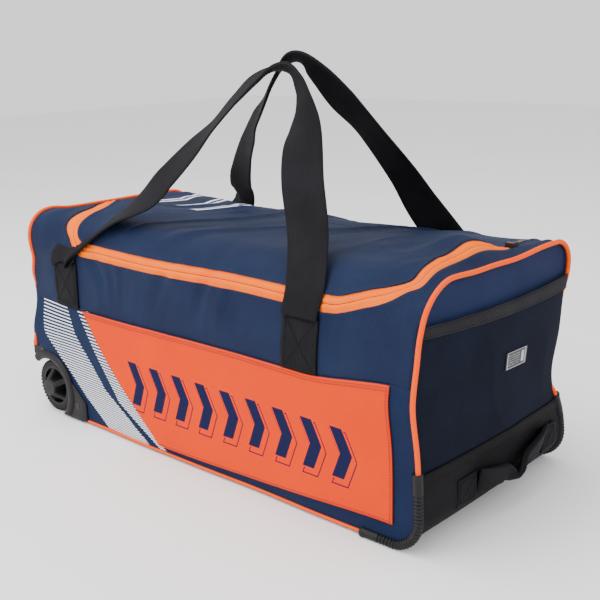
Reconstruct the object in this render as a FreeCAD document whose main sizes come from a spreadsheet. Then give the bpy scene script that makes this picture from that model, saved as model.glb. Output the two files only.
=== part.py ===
import FreeCAD, Part
import math
import os
import re
import Sketcher

# Wheeled kit holdall. The origin is on the floor under the middle of the bag,
# +X runs to the pull-handle end, -Y is the printed front and +Z is up.
# Lengths are millimetres.

SIZES = {
    # carcass
    "bag_length": 720, "bag_depth": 324, "bag_height": 309, "base_lift": 4.5,
    "wall": 3, "front_shoulder_radius": 60, "back_shoulder_radius": 36,
    "bottom_edge_radius": 4, "end_corner_radius": 40,
    "front_seam_height": 190, "end_recess": 9, "board_thickness": 3,
    "board_clearance": 4,
    # lid and zip
    "lid_hinge_offset": 46, "lid_half_length": 337.5, "zip_height": 275,
    "zip_tape_width": 12, "zip_gap": 0.5, "hinge_gap": 0.5,
    "slider_length": 14, "slider_width": 10, "slider_height": 6,
    "slider_lift": 0.4, "slider_setback": 3, "tab_length": 24, "tab_width": 7, "tab_thickness": 1.5,
    "tab_pin_radius": 0.8, "tab_pin_clearance": 0.05,
    # end pocket and bindings
    "pocket_height": 262, "pocket_sheet": 2, "pocket_floor": 97,
    "binding_width": 17, "binding_thickness": 1.2, "binding_margin": 9,
    # printed front panel
    "print_left_top": -237, "print_left_bottom": -89, "print_right": 325,
    "print_bottom": 12, "print_thickness": 1,
    # carry handles
    "webbing_width": 58, "webbing_thickness": 3, "gathered_width": 26,
    "left_anchor": -266, "right_anchor": 198, "anchor_height": 250,
    "anchor_gap": 0.5, "apex_along": 36, "apex_height": 526,
    "handle_face_gap": 1, "handle_split": 0.8, "handle_rise": 38,
    "front_left_bow": 22, "front_right_bow": 2, "back_left_bow": -8, "back_right_bow": -24,
    # pull handle
    "pull_start_margin": 68, "pull_end_margin": 22, "pull_anchor_length": 38,
    "pull_anchor_low": 33, "pull_anchor_thickness": 2, "pull_webbing": 36,
    "pull_grip_height": 26, "pull_standoff": 7, "pull_grip_thickness": 8,
    "pull_pivot_height": 66, "pull_gap": 1, "pull_play": 0.8,
    # piping and corner guards
    "piping_radius": 2.75, "guard_radius": 5, "guard_start": 280,
    "guard_top": 102,
    # wheels
    "tyre_radius": 41.5, "tyre_depth": 8.5, "rim_wall": 5,
    "tyre_width": 26, "tyre_edge": 4, "wheel_inset": 4, "wheel_clearance": 4.5,
    "wheel_reach": 15, "hub_radius": 12, "bearing_radius": 8,
    "bearing_width": 5, "axle_radius": 4, "axle_clearance": 0.05,
    "spoke_half_angle": 27, "spoke_count": 5, "web_thickness": 8,
    "cap_radius": 13, "cap_reach": 13, "cap_wall": 2.5, "axle_head_radius": 7,
    "axle_head_length": 3, "axle_head_gap": 0.5,
    # wheel housings
    "housing_wall": 4, "housing_plate": 3, "flange_thickness": 3,
    "flange_top": 107, "flange_reach": 85, "flange_knee": 36,
    "housing_floor_gap": 3, "boss_radius": 9, "boss_length": 4,
    "rivet_radius": 5, "rivet_head": 1.5, "burr_radius": 6,
    "burr_thickness": 1.5, "nut_radius": 8, "nut_thickness": 3,
    # label
    "label_length": 50, "label_height": 20, "label_thickness": 0.8,
    "label_start": 14, "label_low": 174,
}

doc = FreeCAD.newDocument("kit_holdall")
sheet = doc.addObject("Spreadsheet::Sheet", "sizes")
for row, (alias, amount) in enumerate(SIZES.items(), start=1):
    sheet.set("A%d" % row, alias)
    sheet.set("B%d" % row, str(amount))
    sheet.setAlias("B%d" % row, alias)
doc.recompute()

nodes = []


def qualified(expression):
    """The expression with each alias given its sheet's name."""
    return re.sub(r"[a-z_]+", lambda found: "sizes." * (found[0] in SIZES) + found[0], str(expression))


def number(expression):
    return float(sheet.evalExpression(qualified(expression)))


def bind(item, prop, expression):
    """Tie a property to the sheet."""
    item.setExpression(prop, qualified(expression))


def place(item, where):
    for axis, expression in zip("xyz", where):
        bind(item, "Placement.Base." + axis, expression)


def node(item, label):
    """Mark a document object as one of the bag's pieces."""
    item.Label = label
    nodes.append(item)
    return item


def box(name, low, size):
    item = doc.addObject("Part::Box", name)
    for prop, expression in zip(("Length", "Width", "Height"), size):
        bind(item, prop, expression)
    place(item, low)
    return item


def slab(name, low, high):
    """A box between two corners."""
    return box(name, low, ["( %s ) - ( %s )" % (top, bottom) for bottom, top in zip(low, high)])


def cross_cylinder(name, radius, length, where):
    """A cylinder along +Y from a start point."""
    item = doc.addObject("Part::Cylinder", name)
    bind(item, "Radius", radius)
    bind(item, "Height", length)
    item.Placement.Rotation = FreeCAD.Rotation(FreeCAD.Vector(1, 0, 0), -90)
    place(item, where)
    return item


def cut(name, base, tool):
    item = doc.addObject("Part::Cut", name)
    item.Base = base
    item.Tool = tool
    return item


def common(name, base, tool):
    item = doc.addObject("Part::Common", name)
    item.Base = base
    item.Tool = tool
    return item


def fuse(name, pieces):
    item = doc.addObject("Part::MultiFuse", name)
    item.Shapes = pieces
    return item


def group(name, pieces):
    item = doc.addObject("Part::Compound", name)
    item.Links = pieces
    return item


def mirrored(item, name):
    """The same piece at the back of the bag."""
    twin = doc.addObject("Part::Mirroring", name)
    twin.Source = item
    twin.Base = FreeCAD.Vector(0, 0, 0)
    twin.Normal = FreeCAD.Vector(0, 1, 0)
    return twin


# ---- sketches ----

ALONG_XZ = FreeCAD.Rotation(FreeCAD.Vector(1, 0, 0), 90)
ALONG_YZ = FreeCAD.Rotation(FreeCAD.Vector(1, 1, 1), 120)


def point(across, up):
    return FreeCAD.Vector(across, up, 0)


def constrain(sketch, name, constraint, expression):
    index = sketch.addConstraint(constraint)
    sketch.renameConstraint(index, name)
    bind(sketch, "Constraints." + name, expression)


def arc(centre, radius, start, end):
    circle = Part.Circle(centre, FreeCAD.Vector(0, 0, 1), radius)
    return Part.ArcOfCircle(circle, start * math.pi / 180, end * math.pi / 180)


def rounded_outline(sketch, left, right, low, high, radii):
    """Four straight sides joined by tangent arcs, whose radii start at low left and run anticlockwise."""
    west, east, south, north = [number(side) for side in (left, right, low, high)]
    corner = [number(radius) for radius in radii]
    sketch.addGeometry([
        Part.LineSegment(point(west + corner[0], south), point(east - corner[1], south)),
        arc(point(east - corner[1], south + corner[1]), corner[1], -90, 0),
        Part.LineSegment(point(east, south + corner[1]), point(east, north - corner[2])),
        arc(point(east - corner[2], north - corner[2]), corner[2], 0, 90),
        Part.LineSegment(point(east - corner[2], north), point(west + corner[3], north)),
        arc(point(west + corner[3], north - corner[3]), corner[3], 90, 180),
        Part.LineSegment(point(west, north - corner[3]), point(west, south + corner[0])),
        arc(point(west + corner[0], south + corner[0]), corner[0], 180, 270),
    ], False)
    for edge in range(8):
        sketch.addConstraint(Sketcher.Constraint("Tangent", edge, 2, (edge + 1) % 8, 1))
    for edge in (0, 4):
        sketch.addConstraint(Sketcher.Constraint("Horizontal", edge))
    for edge in (2, 6):
        sketch.addConstraint(Sketcher.Constraint("Vertical", edge))
    constrain(sketch, "right", Sketcher.Constraint("DistanceX", -1, 1, 2, 1, east), right)
    constrain(sketch, "left", Sketcher.Constraint("DistanceX", -1, 1, 6, 1, west), left)
    constrain(sketch, "low", Sketcher.Constraint("DistanceY", -1, 1, 0, 1, south), low)
    constrain(sketch, "high", Sketcher.Constraint("DistanceY", -1, 1, 4, 1, north), high)
    for edge, name, radius, size in zip((7, 1, 3, 5), ("one", "two", "three", "four"), radii, corner):
        constrain(sketch, "radius_" + name, Sketcher.Constraint("Radius", edge, size), radius)


def new_body(name, role):
    """A body with an empty sketch on one of its own origin planes."""
    body = doc.addObject("PartDesign::Body", name)
    sketch = body.newObject("Sketcher::SketchObject", name + "_outline")
    plane = [item for item in body.Origin.OriginFeatures if item.Role == role][0]
    sketch.AttachmentSupport = [(plane, "")]
    sketch.MapMode = "FlatFace"
    return body, sketch


def pad_both_ways(body, sketch, length):
    pad = body.newObject("PartDesign::Pad", body.Name + "_pad")
    pad.Profile = sketch
    pad.SideType = "Symmetric"
    bind(pad, "Length", length)
    return pad


def closed_lines(sketch, corners):
    """A closed outline of straight lines whose corners are tied to the sheet."""
    places = [(number(across), number(up)) for across, up in corners]
    count = len(places)
    sketch.addGeometry([
        Part.LineSegment(point(*places[k]), point(*places[(k + 1) % count])) for k in range(count)
    ], False)
    for k in range(count):
        sketch.addConstraint(Sketcher.Constraint("Coincident", k, 2, (k + 1) % count, 1))
    for k, (across, up) in enumerate(corners):
        for axis, expression, start in (("X", across, places[k][0]), ("Y", up, places[k][1])):
            if number(expression) == 0:
                line = Sketcher.Constraint("PointOnObject", k, 1, -2 if axis == "X" else -1)
                sketch.addConstraint(line)
            else:
                distance = Sketcher.Constraint("Distance" + axis, -1, 1, k, 1, start)
                constrain(sketch, "corner_%s_%d" % (axis.lower(), k), distance, expression)


def plate(name, role, corners, thickness, where):
    """A flat plate with straight edges, padded one way from its plane."""
    body, sketch = new_body(name, role)
    closed_lines(sketch, corners)
    pad = body.newObject("PartDesign::Pad", name + "_pad")
    pad.Profile = sketch
    bind(pad, "Length", thickness)
    place(body, where)
    return body


def turned(name, corners, where):
    """A body of revolution about the wheel's axis: corners are (distance from the axis,
    distance out from the bag's side face), and the bag's outward side is the body's +Z."""
    body, sketch = new_body(name, "XZ_Plane")
    closed_lines(sketch, corners)
    spin = body.newObject("PartDesign::Revolution", name + "_turn")
    spin.Profile = sketch
    spin.ReferenceAxis = (sketch, ["V_Axis"])
    spin.Angle = 360
    body.Placement.Rotation = ALONG_XZ
    place(body, where)
    return body


# ---- carcass: one rounded box, split into the panels that are sewn together ----

def section_prism(name, inset, length):
    """The bag's cross-section, drawn in by an inset and run along X."""
    body, outline = new_body(name, "YZ_Plane")
    low_radius = "bottom_edge_radius - (%s) * 0.75" % inset
    rounded_outline(
        outline, "-bag_depth / 2 + " + inset, "bag_depth / 2 - " + inset,
        "base_lift + " + inset, "bag_height - " + inset,
        [low_radius, low_radius, "back_shoulder_radius - " + inset, "front_shoulder_radius - " + inset])
    pad_both_ways(body, outline, length)
    return body


def side_prism(name, inset):
    """The bag's side view, whose low corner is rounded at the pull-handle end, run along Y."""
    body, outline = new_body(name, "XZ_Plane")
    small = "bottom_edge_radius - (%s) * 0.75" % inset
    rounded_outline(
        outline, "-bag_length / 2 + " + inset, "bag_length / 2 - " + inset,
        "base_lift + " + inset, "bag_height + wall",
        [small, "end_corner_radius - " + inset, small, small])
    pad_both_ways(body, outline, "bag_depth + wall")
    return body


WHEEL_ALONG = "(-bag_length / 2 - wheel_reach + tyre_radius)"
WELL_RADIUS = "(tyre_radius + wheel_clearance + housing_wall)"
WELL_TOP = "(tyre_radius + %s)" % WELL_RADIUS
WELL_DEPTH = "(wheel_inset + tyre_width + axle_head_gap + boss_length + housing_plate)"
FAR = "bag_length"
SIDE = "bag_depth"
FRONT = "-bag_depth / 2"
INSIDE = "(bag_length / 2 - wall)"
BASE_TOP = "(base_lift + bottom_edge_radius)"
TAPE = "(zip_tape_width + zip_gap)"
BACK_TURN = "(bag_height - back_shoulder_radius)"


def wheel_well(name):
    """The corner that a wheel housing fills, open outward, downward and to the end."""
    rounded = cross_cylinder(name + "_round", WELL_RADIUS, WELL_DEPTH + " + wall * 2",
                             (WHEEL_ALONG, FRONT + " - wall * 2", "tyre_radius"))
    squared = slab(name + "_square", ("-" + FAR, FRONT + " - wall * 2", "-tyre_radius"),
                   (WHEEL_ALONG, FRONT + " + " + WELL_DEPTH, WELL_TOP))
    return fuse(name, [rounded, squared])


def mouth(name, grow, rear="lid_hinge_offset"):
    """The lid's U-shaped opening, grown or shrunk along the top and down the shoulder."""
    return slab(name, ("-lid_half_length - " + grow, "-" + SIDE, "zip_height - " + grow),
                ("lid_half_length + " + grow, rear, "bag_height + wall"))


def build_panels():
    """The walls form a tube along X; its pieces and the two ends are the sewn panels."""
    outer = common("outer", section_prism("outer_section", "0", "bag_length"),
                   side_prism("outer_side", "0"))
    sleeve = section_prism("inner_section", "wall", "bag_length + 2 * wall")
    inner = common("inner", sleeve, side_prism("inner_side", "wall"))
    front_well = wheel_well("front_well")
    wells = fuse("wells", [front_well, mirrored(front_well, "back_well")])
    walls = cut("walls", cut("tube", outer, sleeve), wells)

    base_strip = common("base_strip", walls, slab("base_region", ("-" + FAR, "-" + SIDE, "0"),
                                                  (FAR, SIDE, BASE_TOP)))
    wrap_region = slab("wrap_region", (INSIDE + " - end_corner_radius", "-" + SIDE, "0"),
                       (FAR, SIDE, "pocket_floor"))
    wrap = common("end_wrap", cut("closed_walls", outer, inner),
                  common("wrap_inside", sleeve, wrap_region))
    node(fuse("base", [base_strip, wrap]), "base_panel")

    def wall_panel(label, low, high):
        return node(common(label + "_piece", walls, slab(label + "_region", low, high)), label)

    tape_low = "(zip_height - %s)" % TAPE
    wall_panel("front_lower_panel", ("-" + FAR, "-" + SIDE, BASE_TOP), (FAR, "0", "front_seam_height"))
    wall_panel("front_upper_panel", ("-" + FAR, "-" + SIDE, "front_seam_height"), (FAR, "0", tape_low))
    wall_panel("back_panel", ("-" + FAR, "0", BASE_TOP), (FAR, SIDE, BACK_TURN))

    top_front = slab("top_front", ("-" + FAR, "-" + SIDE, tape_low), (FAR, "0", "bag_height + wall"))
    top_rear = slab("top_rear", ("-" + FAR, "0", BACK_TURN), (FAR, SIDE, "bag_height + wall"))
    fixed_top = cut("fixed_top", fuse("top_region", [top_front, top_rear]), mouth("mouth_outside", TAPE))
    node(common("top", walls, fixed_top), "top_panel")
    fixed_tape = cut("fixed_tape", mouth("tape_outside", TAPE), mouth("tape_inside", "zip_gap"))
    node(common("body_tape", walls, fixed_tape), "body_zip_tape")
    lid_rear = "lid_hinge_offset - hinge_gap"
    moving_tape = cut("moving_tape", mouth("lid_outside", "(-zip_gap)", lid_rear),
                      mouth("lid_inside", "(-%s)" % TAPE))
    node(common("lid_tape", walls, moving_tape), "lid_zip_tape")
    node(common("lid", walls, mouth("lid_region", "(-%s)" % TAPE, lid_rear)), "lid_panel")

    left_end = common("left_end", sleeve, slab("left_end_region", ("-bag_length / 2", "-" + SIDE, "0"),
                                               ("-" + INSIDE, SIDE, FAR)))
    node(cut("left_end_cut", left_end, wells), "left_end_panel")
    plane = "(bag_length / 2 - end_recess)"
    right_region = slab("right_end_region", (plane + " - wall", "-" + SIDE, "0"), (plane, SIDE, FAR))
    node(common("right_end", inner, right_region), "right_end_panel")

    sheet_region = slab("pocket_region", ("bag_length / 2 - pocket_sheet", "-" + SIDE, "pocket_floor"),
                        ("bag_length / 2", SIDE, "pocket_height"))
    floor_region = slab("pocket_floor_region", (plane, "-" + SIDE, "pocket_floor"),
                        ("bag_length / 2 - pocket_sheet", SIDE, "pocket_floor + pocket_sheet"))
    pocket = fuse("pocket_region_all", [sheet_region, floor_region])
    node(common("pocket", sleeve, pocket), "end_pocket")
    board = box("board", ("%s + %s + board_clearance" % (WHEEL_ALONG, WELL_RADIUS),
                          FRONT + " + wall + board_clearance", "base_lift + wall"),
                ("bag_length / 2 - end_corner_radius - board_clearance - %s - %s" % (WHEEL_ALONG, WELL_RADIUS),
                 "bag_depth - 2 * wall - 2 * board_clearance", "board_thickness"))
    node(board, "base_board")
    return outer


def build_trim():
    """Bindings on the pocket, the printed panel on the front and the small label."""
    half = "(bag_depth / 2 - binding_margin)"
    for label, low in (("pocket_binding", "pocket_height - binding_width"),
                       ("base_binding", "pocket_floor - binding_width")):
        node(box(label + "_strip", ("bag_length / 2", "-" + half, low),
                 ("binding_thickness", "2 * " + half, "binding_width")), label)
    corners = [("print_left_bottom", "print_bottom"), ("print_right", "print_bottom"),
               ("print_right", "front_seam_height"), ("print_left_top", "front_seam_height")]
    printed = plate("printed_panel", "XZ_Plane", corners, "print_thickness", ("0", FRONT, "0"))
    node(printed, "front_print_panel")
    node(box("label", ("bag_length / 2", "label_start", "label_low"),
             ("label_thickness", "label_length", "label_height")), "label_patch")


# ---- piping and corner guards ----

def free_sketch(name, rotation, where):
    sketch = doc.addObject("Sketcher::SketchObject", name)
    sketch.Placement.Rotation = rotation
    place(sketch, where)
    return sketch


def bead(name, path, edges, radius, rotation, where):
    """A round cord swept along a sketched path, starting from a circle at the path's first end."""
    ring = doc.addObject("Part::Circle", name + "_ring")
    bind(ring, "Radius", radius)
    ring.Placement.Rotation = rotation
    place(ring, where)
    sweep = doc.addObject("Part::Sweep", name)
    sweep.Sections = [ring]
    sweep.Spine = (path, ["Edge%d" % edge for edge in range(1, edges + 1)])
    sweep.Solid = True
    sweep.Frenet = False
    return sweep


ALONG_X = FreeCAD.Rotation(FreeCAD.Vector(0, 1, 0), 90)
ALONG_Y = FreeCAD.Rotation(FreeCAD.Vector(1, 0, 0), -90)


def end_piping(label, along, start_height, outer):
    """Piping round one end's seam, above a start height."""
    path = free_sketch(label + "_path", ALONG_YZ, (along, "0", "0"))
    low_radius = "bottom_edge_radius"
    rounded_outline(path, FRONT, "bag_depth / 2", "base_lift", "bag_height",
                    [low_radius, low_radius, "back_shoulder_radius", "front_shoulder_radius"])
    cord = bead(label + "_cord", path, 8, "piping_radius", ALONG_Y,
                (along, FRONT + " + bottom_edge_radius", "base_lift"))
    above = slab(label + "_above", ("-" + FAR, "-" + SIDE, start_height), (FAR, SIDE, FAR))
    outside = cut(label + "_outside", cord, outer)
    node(common(label + "_upper", outside, above), label)


def build_piping(outer):
    end_piping("right_end_piping", "bag_length / 2", "guard_top", outer)
    end_piping("left_end_piping", "-bag_length / 2", "flange_top", outer)
    start = "(%s + flange_reach)" % WHEEL_ALONG
    strip = doc.addObject("Part::Cylinder", "bottom_cord")
    bind(strip, "Radius", "piping_radius")
    bind(strip, "Height", "guard_start - " + start)
    strip.Placement.Rotation = ALONG_X
    place(strip, (start, FRONT, "base_lift"))
    front = cut("front_bottom_cord", strip, outer)
    node(front, "front_bottom_piping")
    node(mirrored(front, "back_bottom_cord"), "back_bottom_piping")


def build_guards(outer):
    """A moulded guard follows the low corner of the seam and is flattened where it stands."""
    path = free_sketch("guard_path", ALONG_XZ, ("0", FRONT, "0"))
    far = number("bag_length / 2")
    low = number("base_lift")
    turn = number("end_corner_radius")
    path.addGeometry([
        Part.LineSegment(point(number("guard_start"), low), point(far - turn, low)),
        arc(point(far - turn, low + turn), turn, -90, 0),
        Part.LineSegment(point(far, low + turn), point(far, number("guard_top"))),
    ], False)
    for edge in (0, 1):
        path.addConstraint(Sketcher.Constraint("Tangent", edge, 2, edge + 1, 1))
    path.addConstraint(Sketcher.Constraint("Horizontal", 0))
    path.addConstraint(Sketcher.Constraint("Vertical", 2))
    for name, kind, edge, end, amount, expression in (
            ("start", "DistanceX", 0, 1, number("guard_start"), "guard_start"),
            ("low", "DistanceY", 0, 1, low, "base_lift"),
            ("far", "DistanceX", 2, 2, far, "bag_length / 2"),
            ("top", "DistanceY", 2, 2, number("guard_top"), "guard_top")):
        constrain(path, name, Sketcher.Constraint(kind, -1, 1, edge, end, amount), expression)
    constrain(path, "turn", Sketcher.Constraint("Radius", 1, turn), "end_corner_radius")
    cord = bead("guard_cord", path, 3, "guard_radius", ALONG_X, ("guard_start", FRONT, "base_lift"))
    above = slab("guard_above", ("0", "-" + SIDE, "0"), (FAR, SIDE, FAR))
    guard = common("guard", cut("guard_outside", cord, outer), above)
    node(guard, "corner_guard_front")
    node(mirrored(guard, "guard_twin"), "corner_guard_back")


# ---- wheels ----

def ring_corners(inner_radius, outer_radius, low, high):
    return [(inner_radius, low), (outer_radius, low), (outer_radius, high), (inner_radius, high)]


def build_wheel():
    """One front wheel; each piece is then mirrored to the back. Heights are measured out from
    the bag's side face, so they are negative inside the corner."""
    where = (WHEEL_ALONG, FRONT, "tyre_radius")
    near = "(-wheel_inset - tyre_width)"
    far = "(-wheel_inset)"
    rim = "tyre_radius - tyre_depth"
    rim_inside = rim + " - rim_wall"
    tread = [(rim, near), ("tyre_radius - tyre_edge", near), ("tyre_radius", near + " + tyre_edge"),
             ("tyre_radius", far + " - tyre_edge"), ("tyre_radius - tyre_edge", far), (rim, far)]
    tyre = turned("tyre", tread, where)

    hub = turned("hub", [
        ("bearing_radius", near), ("hub_radius", near),
        ("hub_radius", near + " + (tyre_width - web_thickness) / 2"),
        (rim_inside, near + " + (tyre_width - web_thickness) / 2"),
        (rim_inside, near), (rim, near), (rim, far), (rim_inside, far),
        (rim_inside, far + " - (tyre_width - web_thickness) / 2"),
        ("hub_radius", far + " - (tyre_width - web_thickness) / 2"),
        ("hub_radius", far), ("bearing_radius", far)], where)
    cut_windows(hub)

    bearings = group("bearings", [
        turned("inner_bearing", ring_corners("axle_radius + axle_clearance", "bearing_radius",
                                             near, near + " + bearing_width"), where),
        turned("outer_bearing", ring_corners("axle_radius + axle_clearance", "bearing_radius",
                                             far + " - bearing_width", far), where)])
    head = far + " + axle_head_gap"
    axle = turned("axle", [
        ("0", "-" + WELL_DEPTH), ("axle_radius", "-" + WELL_DEPTH), ("axle_radius", head),
        ("axle_head_radius", head), ("axle_head_radius", head + " + axle_head_length"),
        ("0", head + " + axle_head_length")], where)
    cap_top = far + " + cap_reach"
    inside_cap = "(axle_head_radius + axle_head_gap)"
    cap = turned("cap", [
        (inside_cap, far), ("cap_radius", far), ("cap_radius", cap_top + " - cap_wall"),
        ("cap_radius - cap_wall", cap_top), ("0", cap_top), ("0", cap_top + " - cap_wall"),
        (inside_cap, cap_top + " - cap_wall")], where)
    nut = turned("nut", ring_corners("axle_radius", "nut_radius", "-%s - nut_thickness" % WELL_DEPTH,
                                     "-" + WELL_DEPTH), where)
    stud = turned("stud", [("0", "-%s - nut_thickness" % WELL_DEPTH),
                           ("axle_radius", "-%s - nut_thickness" % WELL_DEPTH),
                           ("axle_radius", "-" + WELL_DEPTH), ("0", "-" + WELL_DEPTH)], where)
    for item, label in ((tyre, "wheel_tyre"), (hub, "wheel_hub"), (bearings, "wheel_bearings"),
                        (fuse("axle_and_stud", [axle, stud]), "wheel_axle"), (cap, "hub_cap"),
                        (nut, "axle_nut")):
        node(item, label + "_front")
        node(mirrored(item, label + "_twin"), label + "_back")


def cut_windows(hub):
    """Windows between the spokes: one sector-shaped pocket repeated round the axis."""
    outline = hub.newObject("Sketcher::SketchObject", "window_outline")
    plane = [item for item in hub.Origin.OriginFeatures if item.Role == "XY_Plane"][0]
    outline.AttachmentSupport = [(plane, "")]
    outline.MapMode = "FlatFace"
    near, far = number("hub_radius + 2"), number("tyre_radius - tyre_depth - rim_wall - 1")
    angle = number("spoke_half_angle")
    lean = math.radians(angle)
    centre = point(0, 0)
    outline.addGeometry([
        arc(centre, far, -angle, angle),
        Part.LineSegment(point(far * math.cos(lean), far * math.sin(lean)),
                         point(near * math.cos(lean), near * math.sin(lean))),
        arc(centre, near, -angle, angle),
        Part.LineSegment(point(near * math.cos(lean), -near * math.sin(lean)),
                         point(far * math.cos(lean), -far * math.sin(lean))),
    ], False)
    for first, first_end, second, second_end in ((0, 2, 1, 1), (1, 2, 2, 2), (2, 1, 3, 1), (3, 2, 0, 1)):
        outline.addConstraint(Sketcher.Constraint("Coincident", first, first_end, second, second_end))
    outline.addConstraint(Sketcher.Constraint("Coincident", 0, 3, -1, 1))
    outline.addConstraint(Sketcher.Constraint("Coincident", 2, 3, -1, 1))
    constrain(outline, "far", Sketcher.Constraint("Radius", 0, far), "tyre_radius - tyre_depth - rim_wall - 1")
    constrain(outline, "near", Sketcher.Constraint("Radius", 2, near), "hub_radius + 2")
    pocket = hub.newObject("PartDesign::Pocket", "window")
    pocket.Profile = outline
    pocket.SideType = "Symmetric"
    bind(pocket, "Length", "4 * tyre_width")
    doc.recompute()
    turns = hub.newObject("PartDesign::PolarPattern", "windows")
    turns.Originals = [pocket]
    turns.Axis = (outline, ["N_Axis"])
    turns.Angle = 360
    bind(turns, "Occurrences", "spoke_count")
    hub.Tip = turns


def build_housing():
    """The moulded corner that carries a wheel: arch, back plate, boss and flanges."""
    face = FRONT
    arch_out = face + " - flange_thickness"
    back = face + " + " + WELL_DEPTH
    depth = WELL_DEPTH + " + flange_thickness"
    axis = (WHEEL_ALONG, arch_out, "tyre_radius")
    space = "(tyre_radius + wheel_clearance)"
    round_outer = cross_cylinder("arch_round", WELL_RADIUS, depth, axis)
    square_outer = slab("arch_square", ("-bag_length / 2", arch_out, "housing_floor_gap"),
                        (WHEEL_ALONG, back, WELL_TOP))
    solid = fuse("arch_solid", [round_outer, square_outer])
    open_depth = "(%s - housing_plate + flange_thickness + wall)" % WELL_DEPTH
    open_start = arch_out + " - wall"
    round_inner = cross_cylinder("well_round", space, open_depth, (WHEEL_ALONG, open_start, "tyre_radius"))
    square_inner = slab("well_square", ("-" + FAR, open_start, "-tyre_radius"),
                        (WHEEL_ALONG, "%s + %s" % (open_start, open_depth), "tyre_radius + " + space))
    hollow = fuse("well_space", [round_inner, square_inner])
    knee = "(%s + flange_reach - 2 * housing_wall)" % WHEEL_ALONG
    flange = plate("flange", "XZ_Plane", [
        ("-bag_length / 2", "housing_floor_gap"), (knee, "housing_floor_gap"),
        (knee, "flange_knee"), ("-bag_length / 2 + 4 * housing_wall", "flange_top"),
        ("-bag_length / 2", "flange_top")], "flange_thickness", ("0", face, "0"))
    lip = slab("end_lip", ("-bag_length / 2 - flange_thickness", arch_out, WELL_TOP + " - housing_wall"),
               ("-bag_length / 2", back, "flange_top"))
    boss = cross_cylinder("boss", "boss_radius", "boss_length",
                          (WHEEL_ALONG, back + " - housing_plate - boss_length", "tyre_radius"))
    bore = cross_cylinder("axle_bore", "axle_radius", "2 * " + depth, (WHEEL_ALONG, arch_out, "tyre_radius"))
    moulding = cut("moulding", fuse("housing_solid", [solid, flange, lip]), hollow)
    floor = slab("housing_floor", ("-bag_length / 2 - flange_thickness", "-" + SIDE, "housing_floor_gap"),
                 ("0", SIDE, FAR))
    trimmed = common("housing_trimmed", fuse("housing_and_boss", [moulding, boss]), floor)
    housing = cut("housing", trimmed, bore)
    node(housing, "wheel_housing_front")
    node(mirrored(housing, "housing_twin"), "wheel_housing_back")

    spots = (("low", knee + " - rivet_radius * 2", "flange_knee - rivet_radius * 2"),
             ("high", "-bag_length / 2 + 2.5 * rivet_radius", WELL_TOP + " + burr_radius + 1"))
    heads, burrs = [], []
    for name, along, height in spots:
        head = cross_cylinder("rivet_" + name, "rivet_radius", "rivet_head",
                              (along, arch_out + " - rivet_head", height))
        burr = cross_cylinder("burr_" + name, "burr_radius", "burr_thickness",
                              (along, face + " + wall", height))
        heads += [head, mirrored(head, "rivet_twin_" + name)]
        burrs += [burr, mirrored(burr, "burr_twin_" + name)]
    node(group("rivets", heads), "housing_rivets")
    node(group("burrs", burrs), "rivet_burrs")


# ---- zip slider ----

def build_slider():
    """The slider is parked behind the lid's hinge line, where the zip ends."""
    start = "(lid_hinge_offset + hinge_gap + slider_lift + slider_setback)"
    low = "(bag_height + slider_lift)"
    block = slab("slider_block", ("lid_half_length - slider_width / 2", start, low),
                 ("lid_half_length + slider_width / 2", start + " + slider_length", low + " + slider_height"))
    doc.recompute()
    rounded = doc.addObject("Part::Fillet", "slider")
    rounded.Base = block
    rounded.Edges = [(edge, 1.2, 1.2) for edge in (2, 4, 6, 8)]
    pin_along = start + " + slider_length - slider_height / 2"
    pin_up = low + " + slider_height / 2"
    slot = slab("tab_slot", ("lid_half_length - tab_width / 2 - tab_pin_clearance * 4",
                             pin_along + " - slider_height / 2", low + " - wall"),
                ("lid_half_length + tab_width / 2 + tab_pin_clearance * 4",
                 pin_along + " + slider_height", low + " + slider_height + wall"))
    pin = doc.addObject("Part::Cylinder", "tab_pin")
    bind(pin, "Radius", "tab_pin_radius")
    bind(pin, "Height", "slider_width - 1")
    pin.Placement.Rotation = ALONG_X
    place(pin, ("lid_half_length - slider_width / 2 + 0.5", pin_along, pin_up))
    node(fuse("slider_and_pin", [cut("slider_slotted", rounded, slot), pin]), "zip_slider")

    eye = doc.addObject("Part::Cylinder", "tab_eye")
    bind(eye, "Radius", "tab_pin_radius * 2.4")
    bind(eye, "Height", "tab_width")
    eye.Placement.Rotation = ALONG_X
    place(eye, ("lid_half_length - tab_width / 2", pin_along, pin_up))
    blade = slab("tab_blade", ("lid_half_length - tab_width / 2", pin_along, pin_up + " - tab_thickness / 2"),
                 ("lid_half_length + tab_width / 2", pin_along + " + tab_length", pin_up + " + tab_thickness / 2"))
    hole = doc.addObject("Part::Cylinder", "tab_hole")
    bind(hole, "Radius", "tab_pin_radius + tab_pin_clearance")
    bind(hole, "Height", "2 * tab_width")
    hole.Placement.Rotation = ALONG_X
    place(hole, ("lid_half_length - tab_width", pin_along, pin_up))
    node(cut("tab", fuse("tab_solid", [eye, blade]), hole), "zip_pull_tab")


# ---- webbing ----

def feature(name, shape):
    item = doc.addObject("Part::Feature", name)
    item.Shape = shape
    return item


def band(sections):
    """A closed band through flat sections, each a centre, half a width and half a thickness."""
    wires = []
    for centre, width, depth in sections:
        corners = [centre - width - depth, centre + width - depth,
                   centre + width + depth, centre - width + depth]
        wires.append(Part.makePolygon(corners + corners[:1]))
    return Part.makeLoft(wires, True, True)


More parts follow.
